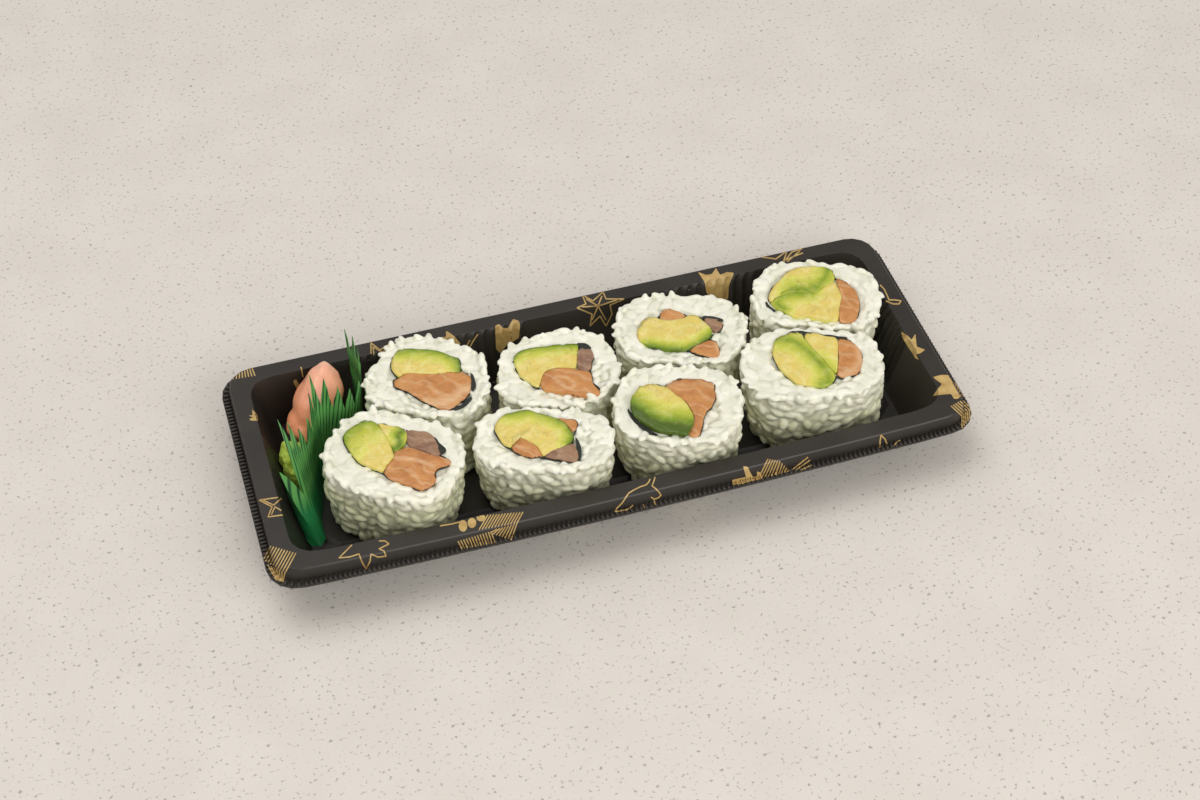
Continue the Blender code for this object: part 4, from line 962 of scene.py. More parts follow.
# %% Tear the seaweed
# Millimetres: the sheet, how far its edge stands in and below the rice, and how far it is torn up or out.
SHEET, EDGE_IN, EDGE_LOW, EDGE_TORN, EDGE_WAVE = 0.34, 0.15, -0.28, 0.85, 0.2
EDGE_NARROWING = (0.92, 0.90, 1.0)
FOOT_CLEAR = 0.3
for salt, name in enumerate(HOLES):
    loop = [on_level(*p, TOPS[name]) for p in seaweed_loop(name)]
    middle = sum(loop, Vector()) / len(loop)
    bpy.ops.object.select_all(action="DESELECT")
    bpy.ops.mesh.primitive_circle_add(vertices=len(loop), radius=0.01, fill_type="NOTHING")
    piece = bpy.context.object
    piece.name = "seaweed_edge_" + name
    rough = []
    for i, (vertex, p) in enumerate(zip(piece.data.vertices, loop)):
        long_tear = noise.noise(Vector((i * 0.21, salt * 7.7, 0.0)))
        rough.append(long_tear + 0.6 * noise.noise(Vector((i * 0.8, salt, 3.0))))
        vertex.co = p - (p - middle).normalized() * EDGE_IN * MM
        vertex.co.z += (EDGE_LOW + EDGE_TORN * rough[-1]) * MM
    foot = Vector((FEET[name][0], FEET[name][1], -(TOPS[name] - ROLL_FLOOR) + FOOT_CLEAR)) * MM
    bpy.ops.object.mode_set(mode="EDIT")
    bpy.ops.mesh.select_all(action="SELECT")
    for share, reached in ((0.1, 0.1), (0.9, 1.0)):
        bpy.ops.mesh.extrude_edges_move(TRANSFORM_OT_translate={"value": tuple(foot * share)})
        bpy.ops.transform.resize(value=EDGE_NARROWING, center_override=middle + foot * reached)
    bpy.ops.mesh.select_all(action="SELECT")
    bpy.ops.mesh.normals_make_consistent(inside=False)
    bpy.ops.object.mode_set(mode="OBJECT")
    for i in range(len(loop)):
        piece.data.vertices[i].co += (loop[i] - middle).normalized() * EDGE_WAVE * rough[i] * MM
    apply_modifier(piece, "SOLIDIFY", thickness=SHEET * MM, offset=1.0)
    piece.data.shade_smooth()
    place(piece, "seaweed", seaweed_black, "seaweed_" + name)

# %% [markdown]
# ## Avocado
# Avocado is pale yellow inside and turns green toward its skin. A knife drags soft flesh, so its cut
# face is smeared and bruised brown in streaks. Every piece carries a value that runs from 0 at the stone
# side to 1 at the skin side, and the finish turns that value into yellow, lime and green.

# %% Mix the avocado finish
avocado_flesh = finish("avocado_flesh", (0.60, 0.55, 0.16), 0.27, Subsurface_Weight=0.15,
                       Subsurface_Scale=0.001)
skin_side = node(avocado_flesh, "ShaderNodeAttribute", attribute_name="skin_side").outputs["Fac"]
wander = sums(avocado_flesh, "MULTIPLY_ADD", grain_noise(avocado_flesh, 5.0, 3.0, 0.6), 0.3, -0.15)
ripe = sums(avocado_flesh, "ADD", skin_side, wander)
flesh = shades(avocado_flesh, ripe, (0.0, (0.76, 0.60, 0.15)), (0.22, (0.71, 0.68, 0.13)),
               (0.5, (0.49, 0.53, 0.050)), (0.75, (0.20, 0.31, 0.010)), (0.95, (0.075, 0.13, 0.006)))
streaks = grain_noise(avocado_flesh, 1.5, 4.0, 1.2, ((0.0, 0.0, 0.6), (1.0, 0.35, 1.0)))
creamy = shades(avocado_flesh, grain_noise(avocado_flesh, 3.0, 3.0, 0.8), (0.48, BLACK),
                (0.66, (0.5, 0.5, 0.5)))
inner = sums(avocado_flesh, "MULTIPLY", creamy, sums(avocado_flesh, "SUBTRACT", 1.0, ripe))
flesh = blend(avocado_flesh, inner, flesh, (0.86, 0.78, 0.34))
bruises = shades(avocado_flesh, streaks, (0.62, BLACK), (0.76, (0.45, 0.45, 0.45)))
colour_from(avocado_flesh, blend(avocado_flesh, bruises, flesh, (0.30, 0.18, 0.07)))
relief(avocado_flesh, grain_noise(avocado_flesh, 1.3, 3.0, 0.8), 0.25)
print("avocado finish mixed")

# %% [markdown]
# ## Salmon
# Raw salmon shows orange muscle between thin pale lines of fat. Waves across noise give such lines. The
# darker strips are the grey-brown flesh that lies under the skin.

# %% Mix the salmon finishes
FAT_WAVES = {"Scale": 90.0, "Distortion": 7.0, "Detail": 3.0, "Detail Scale": 1.2}


def salmon_finish(name, lean, fat, deep):
    material = finish(name, lean, 0.20, Subsurface_Weight=0.2, Subsurface_Scale=0.0012)
    wave = node(material, "ShaderNodeTexWave", wave_type="BANDS", bands_direction="DIAGONAL")
    for socket, value in FAT_WAVES.items():
        wave.inputs[socket].default_value = value
    wire(material, place_on_piece(material), wave.inputs["Vector"])
    lines = shades(material, wave.outputs["Fac"], (0.82, BLACK), (0.98, (0.35, 0.35, 0.35)))
    patches = shades(material, grain_noise(material, 4.5, 3.0), (0.32, deep), (0.62, lean))
    pale = node(material, "ShaderNodeAttribute", attribute_name="skin_side").outputs["Fac"]
    fatty = sums(material, "MULTIPLY", pale, 0.75)
    colour_from(material, blend(material, fatty, blend(material, lines, patches, fat), fat))
    relief(material, grain_noise(material, 1.8, 3.0), 0.4)
    return material


salmon_flesh = salmon_finish("salmon_flesh", (0.63, 0.295, 0.098), (0.76, 0.49, 0.27), (0.50, 0.20, 0.060))
salmon_grey = salmon_finish("salmon_grey", (0.36, 0.21, 0.12), (0.48, 0.32, 0.21), (0.24, 0.125, 0.08))
print("salmon finishes mixed")


# %% [markdown]
# A circle with as many points as the outline is moved onto it. Rings are extruded inward, so that the flat
# face has points to bulge, and the open rim is extruded down to the foot and closed there. Every point then
# keeps how near it is to the skin or the fat, which the finishes read.

# %% Make the cut faces
RINGS = 12
FACE_NARROWING = (0.94, 0.90, 1.0)
FACE_BULGE, SOFT_DENTS, FINE_DENTS, EDGE_DROP = 0.35, 0.28, 0.10, 0.30


def cut_face(name, roll, outline, middle, proud, bottom=ROLL_FLOOR):
    """A filling from its cut face down to a height; gives the piece, its edge, its middle and its level."""
    places = refine(outline)
    level = TOPS[roll] + proud
    centre = on_level(*middle, level)
    bpy.ops.object.select_all(action="DESELECT")
    bpy.ops.mesh.primitive_circle_add(vertices=len(places), radius=0.01, fill_type="NOTHING")
    piece = bpy.context.object
    piece.name = name
    for vertex, (px, py) in zip(piece.data.vertices, places):
        vertex.co = on_level(px, py, level)
    bpy.ops.object.mode_set(mode="EDIT")
    bpy.ops.mesh.select_all(action="SELECT")
    for ring in range(1, RINGS):
        factor = (RINGS - ring) / (RINGS - ring + 1.0)
        bpy.ops.mesh.extrude_edges_move()
        bpy.ops.transform.resize(value=(factor, factor, factor), center_override=centre)
    bpy.ops.mesh.edge_face_add()
    bpy.ops.mesh.poke()
    bpy.ops.mesh.select_all(action="DESELECT")
    bpy.ops.mesh.select_mode(type="VERT")
    bpy.ops.mesh.select_non_manifold()
    foot = Vector((*FEET[roll], 0.0)) * MM * (level - bottom) / (level - ROLL_FLOOR)
    foot.z = (bottom - level) * MM
    for share, reached in ((0.12, 0.12), (0.88, 1.0)):
        bpy.ops.mesh.extrude_edges_move(TRANSFORM_OT_translate={"value": tuple(foot * share)})
        bpy.ops.transform.resize(value=FACE_NARROWING, center_override=centre + foot * reached)
    bpy.ops.mesh.edge_face_add()
    bpy.ops.mesh.select_all(action="SELECT")
    bpy.ops.mesh.normals_make_consistent(inside=False)
    bpy.ops.object.mode_set(mode="OBJECT")
    return piece, places, centre, level


print("rings in a cut face:", RINGS)


# %% Bulge and colour the cut faces
def finish_face(piece, solid, places, centre, level, salt):
    """Bulges the cut face, roughens it and stores how near each point is to the skin or the fat."""
    line, width, strength = FACES[solid][3:]
    values = []
    reach_out = max((on_level(*p, level) - centre).length for p in places)
    for vertex in piece.data.vertices:
        px, py = seen_at(vertex.co)
        on_top = vertex.co.z > (level - 0.2) * MM
        if line and on_top:
            values.append(strength * max(0.0, 1.0 - far_from(px, py, line) / width))
        else:
            values.append(strength if line and solid.startswith("avocado") else 0.0)
        if on_top:
            share = (vertex.co - centre).length / reach_out
            p = vertex.co / MM
            vertex.co.z += (FACE_BULGE * (1.0 - share * share)
                            + SOFT_DENTS * noise.noise(p / 3.2 + Vector((salt, 0.0, 0.0)))
                            + FINE_DENTS * noise.noise(p / 1.1 + Vector((0.0, salt, 0.0)))) * MM
    for vertex in piece.data.vertices:
        if vertex.co.z <= (level - 0.3) * MM:
            continue
        nearest = min((vertex.co - on_level(*p, level)).length for p in places)
        if nearest < 0.05 * MM:
            vertex.co.z -= EDGE_DROP * MM
    add_values(piece, "skin_side", values)
    piece.data.shade_smooth()


for salt, solid in enumerate(FACES):
    roll = solid.split("_")[-1]
    piece, places, centre, level = cut_face("cut_" + solid, roll, *FACES[solid][:3])
    finish_face(piece, solid, places, centre, level, salt)
    if solid.startswith("avocado"):
        place(piece, "avocado", avocado_flesh, solid)
    elif solid.startswith("salmon_dark"):
        place(piece, "salmon_dark", salmon_grey, solid)
    else:
        place(piece, "salmon", salmon_flesh, solid)

# %% [markdown]
# Where a filling doesn't reach the seaweed, a dark pocket is left, in which the black sheet shows. These gaps
# make the filling look cut by hand, so the larger ones are cut faces too, narrow and black: a flat face at
# the top that carries the seaweed's black and the painted shade of the gap's depth.

# %% Leave the dark pockets
POCKETS = {
    "front1": (
        ((433, 436), (437, 439), (441, 444), (446, 448), (446, 453), (441, 454), (438, 448), (434, 441)),
    ),
    "back1": (
        ((470, 372), (474, 374), (476, 386), (473, 393), (471, 389), (472, 380)),
        ((453, 409), (462, 404), (471, 396), (473, 398), (464, 407), (455, 411)),
    ),
    "front2": (
        ((575, 436), (579, 440), (582, 450), (581, 461), (578, 462), (579, 452), (576, 444)),
    ),
    "back2": (
        ((576, 343), (585, 343), (592, 348), (586, 350), (580, 350)),
    ),
    "front3": (
        ((628, 407), (632, 415), (640, 424), (650, 431), (660, 436), (650, 433.5), (639, 427), (630, 417),
         (627, 410)),
    ),
    "back3": (
        ((702, 316), (712, 316), (724, 319), (724, 322), (712, 320), (703, 319)),
    ),
    "front4": (
        ((784, 337), (790, 331), (802, 331), (812, 333), (830, 335), (848, 337), (848, 339), (830, 338),
         (812, 336), (800, 334), (791, 334), (786, 339)),
    ),
    "back4": (
        ((766, 300), (770, 306), (777, 311), (776, 312.5), (769, 308), (765, 303)),
    ),
}
POCKET_PROUD, POCKET_DEPTH, POCKET_TORN = 0.12, 3.0, (2.0, 0.25)
# Painted shade: each pocket is a flat black face standing in for the seaweed and the shade down in the gap.
for roll, outlines in POCKETS.items():
    for number, outline in enumerate(outlines):
        middle = tuple(sum(p[k] for p in outline) / len(outline) for k in (0, 1))
        name = "pocket_" + roll + "_" + str(number + 1)
        piece = cut_face(name, roll, outline, middle, POCKET_PROUD, TOPS[roll] - POCKET_DEPTH)[0]
        nudge(piece, *POCKET_TORN, number)
        place(piece, "seaweed", seaweed_black, "seaweed_" + roll)

# %% [markdown]
# ## Grass divider
# The divider is a strip of thin green plastic cut into blades, printed darker in fine slanted lines. It
# stands on its lower edge, curves round the ginger and leans outward. It is lofted again from the packed
# foot line and tips, with more columns, so every blade gets a true point and a fold down its middle.

# %% [markdown]
# The divider and the wasabi lean on the left wall, which slopes and has flutes. A small helper says how far
# left a point may lie at its height, and both pieces are held back there.

# %% Note where the left wall stands
RIM_Z, FLANGE = 20.0, 5.7
WALL_DRAFT, FLUTE_DEPTH, CLEARANCE = 5.6, 0.9, 0.35


def left_wall(z):
    """How far left a piece may reach at a height, clear of the flutes of the left wall."""
    share = min(1.0, max(0.0, (RIM_Z - z) / RIM_Z))
    return FLANGE - HALF_X + WALL_DRAFT * share + FLUTE_DEPTH + CLEARANCE


print("the left wall at the floor:", round(left_wall(0.0), 1))

# %% [markdown]
# Columns of points run from the foot line to the tips. Between two tips the columns are shorter, which
# leaves the notches between the blades, and every second column stands out a little, which makes the folds.

# %% Note the foot and the tips of the divider
FOOT = (
    (-94.2, -19.5), (-91.6, -20.6), (-89.6, -18.0), (-89.2, -10.0), (-86.6, -1.0), (-81.0, 8.0),
    (-75.0, 12.4), (-70.5, 15.0), (-69.2, 22.0), (-69.2, 29.8),
)
TIPS = (
    (-99.0, -9.8, 26.0), (-96.6, -4.0, 42.0), (-93.9, -3.8, 40.0), (-91.0, -3.0, 35.5),
    (-87.6, 2.2, 34.0), (-85.3, 9.4, 36.5), (-83.8, 14.6, 39.0), (-79.8, 14.4, 36.5), (-76.2, 11.6, 34.5),
    (-72.6, 12.6, 31.5), (-69.2, 15.4, 31.0), (-67.6, 19.8, 34.5), (-67.2, 24.0, 37.5),
    (-67.8, 28.0, 38.0), (-69.4, 31.9, 38.0),
)
FOOT_Z = 2.2
LOW_TOOTH_SEEN, LOW_TOOTH_Z = (280, 473), 13.0
low_tooth = on_level(*LOW_TOOTH_SEEN, LOW_TOOTH_Z) / MM - Vector((0.0, RIM_MIDDLE_Y, 0.0))
TIPS = (tuple(low_tooth),) + TIPS
print("low tooth of the divider:", [round(q, 1) for q in low_tooth])


def along_path(path, share):
    """The point that lies a share of the way along a path."""
    lengths = [math.dist(a, b) for a, b in zip(path, path[1:])]
    left = share * sum(lengths)
    for (a, b), length in zip(zip(path, path[1:]), lengths):
        if left <= length + 1e-9:
            return tuple(p + (q - p) * left / length for p, q in zip(a, b))
        left -= length
    return path[-1]


STEPS, ROWS = 6, 12
DEEP_BLADE, DEEP_NOTCH, NOTCH = 1, 0.52, 0.28
FOLD, SWAY, SWAY_TURN, LEAN_LEFT = 0.10, 0.5, 0.35, 8.0
BLADE_HEIGHT, GRASS_SHEET = 38.0, 0.25

# %% Loft the divider
columns = []
for i in range((len(TIPS) - 1) * STEPS + 1):
    blade, part = divmod(i, STEPS)
    share = i / ((len(TIPS) - 1) * STEPS)
    foot = Vector((*along_path(FOOT, share), FOOT_Z))
    first = Vector(TIPS[blade])
    second = Vector(TIPS[min(blade + 1, len(TIPS) - 1)])
    deep = DEEP_NOTCH if blade == DEEP_BLADE else NOTCH
    tip = first.lerp(second, part / STEPS)
    notch = 1.0 - abs(2.0 * part / STEPS - 1.0)
    columns.append((foot, foot.lerp(tip, 1.0 - deep * notch)))
vertices, faces, height_value, across_value = [], [], [], []
for i, (foot, tip) in enumerate(columns):
    ahead, behind = columns[min(i + 1, len(columns) - 1)][0], columns[max(i - 1, 0)][0]
    out = Vector((ahead.y - behind.y, behind.x - ahead.x, 0.0)).normalized()
    fold = FOLD * (1.0 if i % 2 else -1.0)
    for k in range(ROWS + 1):
        level = k / ROWS
        sway = SWAY * math.sin(SWAY_TURN * i) * level * (1.0 - level)
        p = foot.lerp(tip, level) + out * (fold * level + sway)
        p.x -= LEAN_LEFT * max(0.0, 1.0 - i / (2.0 * STEPS)) * level * (1.0 - level)
        p.x = max(p.x, left_wall(p.z))
        vertices.append(tuple((p + Vector((0.0, RIM_MIDDLE_Y, 0.0))) * MM))
        height_value.append((p.z - FOOT_Z) / BLADE_HEIGHT)
        across_value.append(i / STEPS)
for i in range(len(columns) - 1):
    for k in range(ROWS):
        a = i * (ROWS + 1) + k
        faces.append((a, a + ROWS + 1, a + ROWS + 2, a + 1))
grass = new_piece("grass_divider", vertices, faces)
add_values(grass, "height", height_value)
add_values(grass, "across", across_value)
apply_modifier(grass, "SOLIDIFY", thickness=GRASS_SHEET * MM, offset=0.0)
pick(grass)
bpy.ops.object.shade_smooth_by_angle(angle=math.radians(40))

# %% [markdown]
# The print on the plastic is a saw of slanted dark lines. It comes from two values of each point, its
# height and its place across the blades. Near the foot the print ends and plain green is left.

# %% Print and place the divider
green_plastic = finish("green_plastic", (0.02, 0.22, 0.07), 0.30)
height = node(green_plastic, "ShaderNodeAttribute", attribute_name="height").outputs["Fac"]
across = node(green_plastic, "ShaderNodeAttribute", attribute_name="across").outputs["Fac"]
LINE_SLANT, LINES_PER_BLADE = -1.4, 3.0
slant = sums(green_plastic, "MULTIPLY_ADD", height, LINE_SLANT, across)
saw = sums(green_plastic, "FRACT", sums(green_plastic, "MULTIPLY", slant, LINES_PER_BLADE))
line = shades(green_plastic, saw, (0.0, BLACK), (0.08, WHITE), (0.30, WHITE), (0.40, BLACK))
upper = shades(green_plastic, height, (0.24, BLACK), (0.40, WHITE))
drawn = blend(green_plastic, line, (0.105, 0.34, 0.080), (0.012, 0.075, 0.025))
colour_from(green_plastic, blend(green_plastic, upper, (0.012, 0.170, 0.048), drawn))
place(grass, "divider_plastic", green_plastic, "divider")

# %% [markdown]
# ## Pickled ginger
# Ginger is shaved so thin that light passes through it, and it is packed as a wet crumpled heap. The
# packed lump gives the heap's size. It is remeshed fine and pushed about in long soft folds.

# %% Mix the ginger finish
ginger_pink = finish("ginger_pink", (0.82, 0.36, 0.24), 0.22, Subsurface_Weight=0.45, Subsurface_Scale=0.002)
upper_side = node(ginger_pink, "ShaderNodeAttribute", attribute_name="height").outputs["Fac"]
patchy = sums(ginger_pink, "MULTIPLY_ADD", grain_noise(ginger_pink, 7.0, 2.0), 0.7, -0.35)
# Painted light: the heap is paler and lighter toward its top, where more light falls, and a deeper pink lower
# down; the noise adds patches of the ginger's own tone.
blush = shades(ginger_pink, sums(ginger_pink, "ADD", upper_side, patchy), (0.15, (1.0, 0.38, 0.19)),
               (0.5, (1.0, 0.45, 0.28)), (0.9, (0.96, 0.54, 0.41)))
colour_from(ginger_pink, blush)
relief(ginger_pink, grain_noise(ginger_pink, 2.2, 2.0, 1.0), 0.25)
print("ginger finish mixed")

# %% Fold the ginger
FINE_CELL = 0.5
SWELL, FOLD_DEPTH = 0.5, 0.22
FOLDS_ALONG, FOLDS_UP, FOLD_WANDER, WANDER_SIZE = 0.9, 0.55, 2.5, 7.0
GINGER_LOW, GINGER_BAND = 14.0, 16.0
ginger = merged_copy("ginger", "ginger_heap")
apply_modifier(ginger, "REMESH", mode="VOXEL", voxel_size=FINE_CELL * MM)
apply_modifier(ginger, "SMOOTH", factor=0.6, iterations=22)
normals = [vertex.normal.copy() for vertex in ginger.data.vertices]
for vertex, normal in zip(ginger.data.vertices, normals):
    p = vertex.co / MM
    fold = math.sin(FOLDS_ALONG * p.x + FOLDS_UP * p.z + FOLD_WANDER * noise.noise(p / WANDER_SIZE))
    vertex.co += normal * (SWELL + FOLD_DEPTH * fold) * MM
# Painted light: the height value makes the top of the heap paler.
add_values(ginger, "height", [(v.co.z / MM - GINGER_LOW) / GINGER_BAND for v in ginger.data.vertices])
ginger.data.shade_smooth()
place(ginger, "ginger", ginger_pink, "ginger")

# %% [markdown]
# ## Wasabi
# Wasabi is a stiff paste, torn off in a lump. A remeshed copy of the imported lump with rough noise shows
# its crumbly face.

# %% Crumble the wasabi
wasabi_green = finish("wasabi_green", (0.42, 0.44, 0.07), 0.6, Subsurface_Weight=0.1, Subsurface_Scale=0.001)
paste = shades(wasabi_green, grain_noise(wasabi_green, 2.2, 4.0), (0.3, (0.42, 0.60, 0.05)),
               (0.7, (0.62, 0.80, 0.13)))
colour_from(wasabi_green, paste)
relief(wasabi_green, grain_noise(wasabi_green, 0.7, 4.0), 0.3)
WASABI_SHIFT = Vector((-1.2, 0.4, 0.8))
LUMPS, CRUMBS = (4.0, 1.4, 3), (1.5, 0.4, 4)
wasabi = merged_copy("wasabi", "wasabi_lump")
apply_modifier(wasabi, "REMESH", mode="VOXEL", voxel_size=FINE_CELL * MM)
wasabi.data.transform(Matrix.Translation(WASABI_SHIFT * MM))
nudge(wasabi, *LUMPS)
nudge(wasabi, *CRUMBS)
for vertex in wasabi.data.vertices:
    vertex.co.x = max(vertex.co.x, left_wall(vertex.co.z / MM) * MM)
wasabi.data.shade_smooth()
place(wasabi, "wasabi", wasabi_green, "wasabi")

# %% [markdown]
# ## Gold print
# The tray's rim is printed with loose maple leaves, blossoms and hatched blocks in dull gold, a common
# festive pattern. The print has no thickness of its own. Each line or leaf is drawn in the picture,
# thrown along the line of sight onto the tray and its ribs, and lifted by a few hundredths of a
# millimetre, so it folds over the rim just as the real print does.

# %% Throw places onto the tray
from mathutils.geometry import delaunay_2d_cdt

skin_points = [v.co.copy() for v in tray.data.vertices] + [v.co.copy() for v in ribs.data.vertices]
shift = len(tray.data.vertices)
skin_faces = [tuple(p.vertices) for p in tray.data.polygons]
skin_faces += [tuple(i + shift for i in p.vertices) for p in ribs.data.polygons]
skin_tree = BVHTree.FromPolygons(skin_points, skin_faces)
print_points, print_faces = [], []
INK_RISE = 0.05
LINE_CELL, LINE_GAP, PATCH_GAP = 0.8, 1.6, 2.4


def thrown(px, py):
    """The point just above the tray that is seen at a picture place."""
    place_at, normal, _, _ = skin_tree.ray_cast(EYE, sight(px, py))
    if place_at is None:
        return None
    if normal.dot(look) > 0.0:
        normal = -normal
    return place_at + normal * INK_RISE * MM


def add_faces(places, faces, longest_mm):
    """Keeps the faces whose corners all met the tray close together."""
    spots = [thrown(*p) for p in places]
    start = len(print_points)
    print_points.extend(tuple(s) if s is not None else (0.0, 0.0, 0.0) for s in spots)
    for face in faces:
        corners = [spots[i] for i in face]
        if any(c is None for c in corners):
            continue
        if max((a - b).length for a, b in zip(corners, corners[1:] + corners[:1])) < longest_mm * MM:
            print_faces.append(tuple(start + i for i in face))


# %% Turn lines and outlines into printed faces
def stroke(line, width=1.3):
    """A printed line of one width along picture places."""
    places = []
    for (ax, ay), (bx, by) in zip(line, line[1:]):
        count = max(1, round(math.hypot(bx - ax, by - ay) / LINE_CELL))
        places += [(ax + (bx - ax) * i / count, ay + (by - ay) * i / count) for i in range(count)]
    places.append(line[-1])
    sides = []
    for i, (x, y) in enumerate(places):
        (ax, ay), (bx, by) = places[max(i - 1, 0)], places[min(i + 1, len(places) - 1)]
        length = math.hypot(bx - ax, by - ay) or 1.0
        nx, ny = (ay - by) / length * width / 2.0, (bx - ax) / length * width / 2.0
        sides += [(x + nx, y + ny), (x, y), (x - nx, y - ny)]
    faces = []
    for i in range(len(places) - 1):
        faces += [(3 * i + k, 3 * i + k + 1, 3 * i + k + 4, 3 * i + k + 3) for k in (0, 1)]
    add_faces(sides, faces, LINE_GAP)


def filled(outline, step=1.0):
    """A printed patch inside an outline of picture places."""
    edge = refine(outline, step)
    xs, ys = [p[0] for p in edge], [p[1] for p in edge]
    grid = [(x, y) for x in np.arange(min(xs), max(xs), step) for y in np.arange(min(ys), max(ys), step)
            if inside_outline(x, y, edge) and far_from(x, y, edge + edge[:1]) > 0.5 * step]
    points = [Vector(p) for p in edge + grid]
    count = len(edge)
    ends = [(i, (i + 1) % count) for i in range(count)]
    made = delaunay_2d_cdt(points, ends, [list(range(count))], 1, 1e-4)
    add_faces([tuple(p) for p in made[0]], [tuple(f) for f in made[2]], PATCH_GAP)


def hatched(a, b, d, c, count, width=1.2):
    """Printed lines from edge ab to edge dc."""
    for i in range(count):
        share = i / (count - 1)
        stroke([(a[0] + (b[0] - a[0]) * share, a[1] + (b[1] - a[1]) * share),
                (d[0] + (c[0] - d[0]) * share, d[1] + (c[1] - d[1]) * share)], width)


def oval(px, py, half_x, half_y):
    """Twelve picture places round an oval."""
    angles = np.linspace(0.0, 2.0 * math.pi, 13)[:-1]
    return [(px + half_x * math.cos(t), py + half_y * math.sin(t)) for t in angles]


print("the print is thrown onto", len(skin_faces), "faces")

# %% [markdown]
# Most of the print is thin lines: leaves, stars, twigs and blossoms, each a row of picture places. A stroke
# gives each line its width before it is thrown.

# %% Draw the lines of the print
LINES = (
    ((278.2, 497.5), (259.3, 500.2), (272.1, 506.9), (268, 517), (282.9, 515)),
    ((263.4, 500.4), (273.7, 505.3), (281.5, 498.1)),
    ((271.4, 514.7), (275, 506.9), (281.5, 510.7)),
    ((352, 545), (345, 552), (339, 558), (350, 557), (359, 554), (362, 562), (366, 569), (370, 561),
     (371, 554), (378, 557), (386, 556), (384, 551), (379, 549), (389, 544), (385, 541), (379, 541)),
    ((650, 479), (649, 482), (646, 485), (640, 487), (634, 490), (629, 493), (626, 497), (622, 503),
     (617, 508), (615, 512), (620, 511), (626, 510), (630, 508), (633, 505)),
    ((655, 477), (654, 481), (652, 486), (656, 489), (659, 492), (661, 495), (658, 498), (654, 499),
     (651, 497)),
    ((654, 499), (655, 505)),
    ((643, 504), (645, 508)),
    ((881, 435), (880, 441), (880, 448)),
    ((881, 435), (885, 439), (887, 444)),
    ((894, 446), (897, 442), (900, 440)),
    ((880, 285), (884, 289), (887, 295), (889, 300), (895, 300), (901, 301), (899, 304), (893, 304),
     (886, 301)),
    ((577, 308), (586, 304), (582, 295), (593, 301), (603, 292), (606, 299), (624, 299), (610, 305),
     (612, 314), (606, 326), (600, 316), (590, 326), (592, 314), (577, 308)),
    ((598, 306), (586, 299)),
    ((598, 306), (602, 296)),
    ((598, 306), (617, 300)),
    ((598, 306), (606, 320)),
    ((598, 306), (592, 320)),
    ((598, 306), (582, 307)),
    ((760, 257), (776, 259), (787, 251), (783, 263)),
    ((783, 263), (792, 252), (802, 249)),
    ((787, 262), (800, 251)),
    ((778, 264), (790, 258), (803, 253)),
    ((371, 354), (371, 343), (380, 350), (386, 346), (393, 343)),
    ((374, 355), (373, 347), (382, 352), (392, 348)),
    ((440, 526), (452, 524), (460, 522)),
    ((792, 470), (808, 457)),
    ((796, 470), (810, 460)),
    ((801, 470), (812, 465)),
    ((301, 367), (303, 377)),
    ((478, 334), (473, 341), (470, 347)),
    ((464, 350), (470, 340)),
)
for line in LINES:
    stroke(line)
print("printed lines:", len(print_faces), "faces")

# %% [markdown]
# The hatched blocks are rows of parallel lines. Each block is given by its four corners and the number of
# its lines.

# %% Draw the hatched blocks
HATCHES = (
    ((232, 371), (252, 368), (230, 380), (255, 376), 9),
    ((271, 546), (296, 553), (263, 560), (285, 573), 10),
    ((285, 572), (268, 565), (283, 582), (276, 580), 7),
    ((458, 541), (491, 531), (462, 549), (495, 543), 13),
    ((488, 515), (523, 512), (479, 530), (517, 523), 13),
    ((497, 529), (517, 523), (490, 533), (511, 540), 8),
    ((768, 459), (780, 461), (758, 479), (775, 475), 6),
    ((780, 461), (789, 470), (776, 475), (787, 472), 5),
    ((951, 406), (962, 400), (962, 416), (972, 409), 6),
    ((962, 415), (971, 409), (962, 428), (972, 417), 6),
)
for corners in HATCHES:
    hatched(*corners)
print("lines and hatching:", len(print_faces), "faces")

# %% [markdown]
# Some leaves and blossoms are printed solid. Their outlines are filled with small triangles, so the patch
# can follow the rim. The finished print is then cleared of loose points and turned to face the camera.

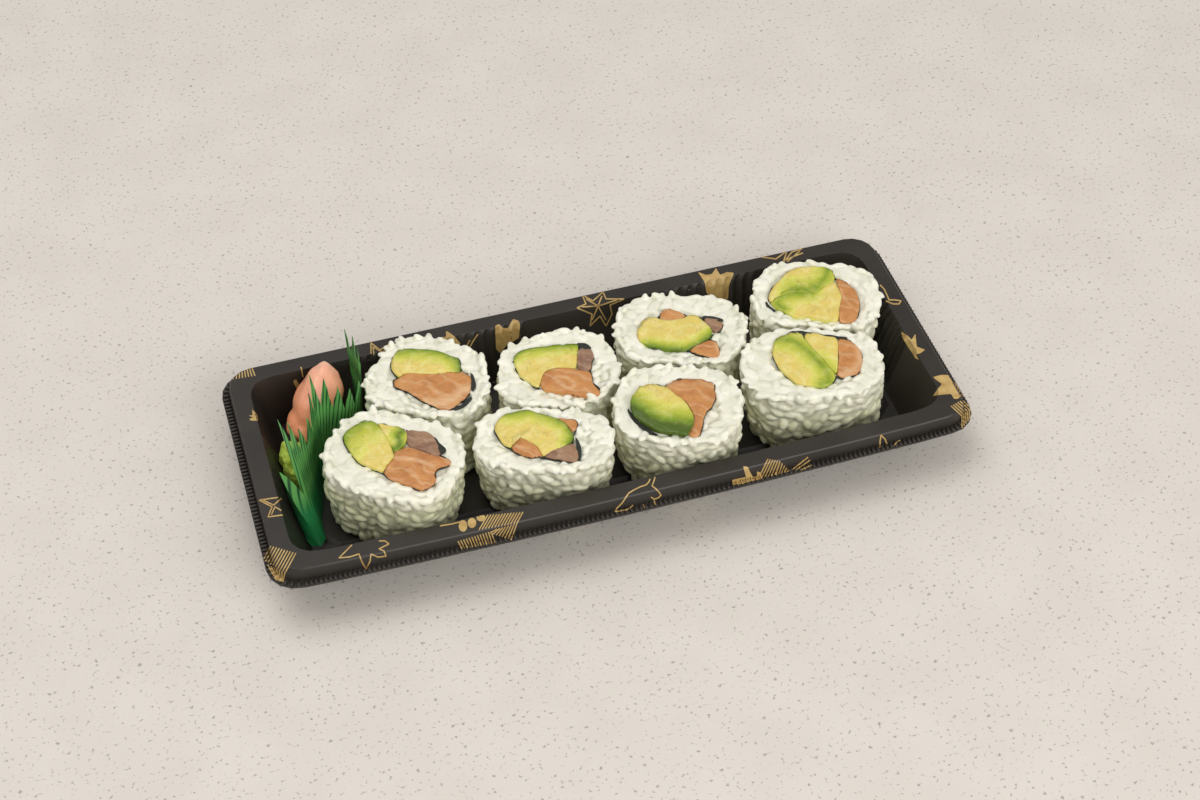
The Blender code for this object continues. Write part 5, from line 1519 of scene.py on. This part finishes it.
# %% Fill the leaves and blossoms
PATCHES = (
    ((248.6, 415.4), (252.6, 415.4), (252, 409.3), (255.3, 412.7), (257.3, 415.4), (258, 420.8),
     (250.6, 420.8), (249.2, 418.7), (253.3, 418)),
    oval(463, 526, 4.4, 6.0),
    oval(472, 523, 4.4, 5.2),
    oval(481, 518, 4.6, 3.6),
    ((901.4, 331.7), (905.6, 334.3), (910.1, 338), (911.4, 340.1), (915.3, 333.8), (916.1, 340.1),
     (916.7, 346.7), (925.3, 349.8), (920.6, 353.3), (916.1, 354.6), (919.3, 359.8), (915.3, 358.5),
     (912.7, 353.3), (908.8, 348), (905.6, 342.8), (902.5, 337.5)),
    ((933, 377), (941, 375), (948, 375), (951, 380), (955, 383), (960, 387), (963, 392), (966, 398),
     (961, 396), (958, 399), (954, 399), (951, 394), (940, 395), (933, 396), (937, 390), (942, 384),
     (936, 380)),
    ((698, 272), (706, 275), (712, 274), (716, 268), (720, 275), (727, 272), (734, 273), (731, 280),
     (729, 286), (728, 299), (722, 301), (712, 300), (706, 292), (705, 283)),
    ((495, 326), (499, 324), (503, 328), (508, 328), (513, 319), (519, 321), (520, 326), (519, 338),
     (512, 342), (507, 345), (500, 353), (496, 349)),
    ((743, 466), (748, 467), (750, 472), (753, 477), (757, 476), (757, 471), (761, 473), (762, 479),
     (752, 481), (742, 484), (733, 485), (732, 480), (740, 478), (746, 477)),
    ((436, 338), (446, 337), (446, 331), (450, 333), (455, 337), (461, 344), (458, 346), (450, 341),
     (440, 342)),
    ((293, 381), (296, 379), (300, 386), (303, 394), (299, 392), (295, 386)),
)
for outline in PATCHES:
    filled(list(outline))
gold = new_piece("gold_print", print_points, print_faces)
pick(gold)
bpy.ops.object.mode_set(mode="EDIT")
bpy.ops.mesh.select_all(action="SELECT")
bpy.ops.mesh.delete_loose()
bpy.ops.object.mode_set(mode="OBJECT")
for polygon in gold.data.polygons:
    if polygon.normal.dot(look) > 0.0:
        polygon.flip()
gold_ink = finish("gold_ink", (0.52, 0.345, 0.115), 0.38)
tarnish = shades(gold_ink, grain_noise(gold_ink, 3.0, 3.0), (0.3, (0.42, 0.26, 0.08)),
                 (0.7, (0.60, 0.42, 0.16)))
colour_from(gold_ink, tarnish)
place(gold, "tray_plastic", gold_ink)
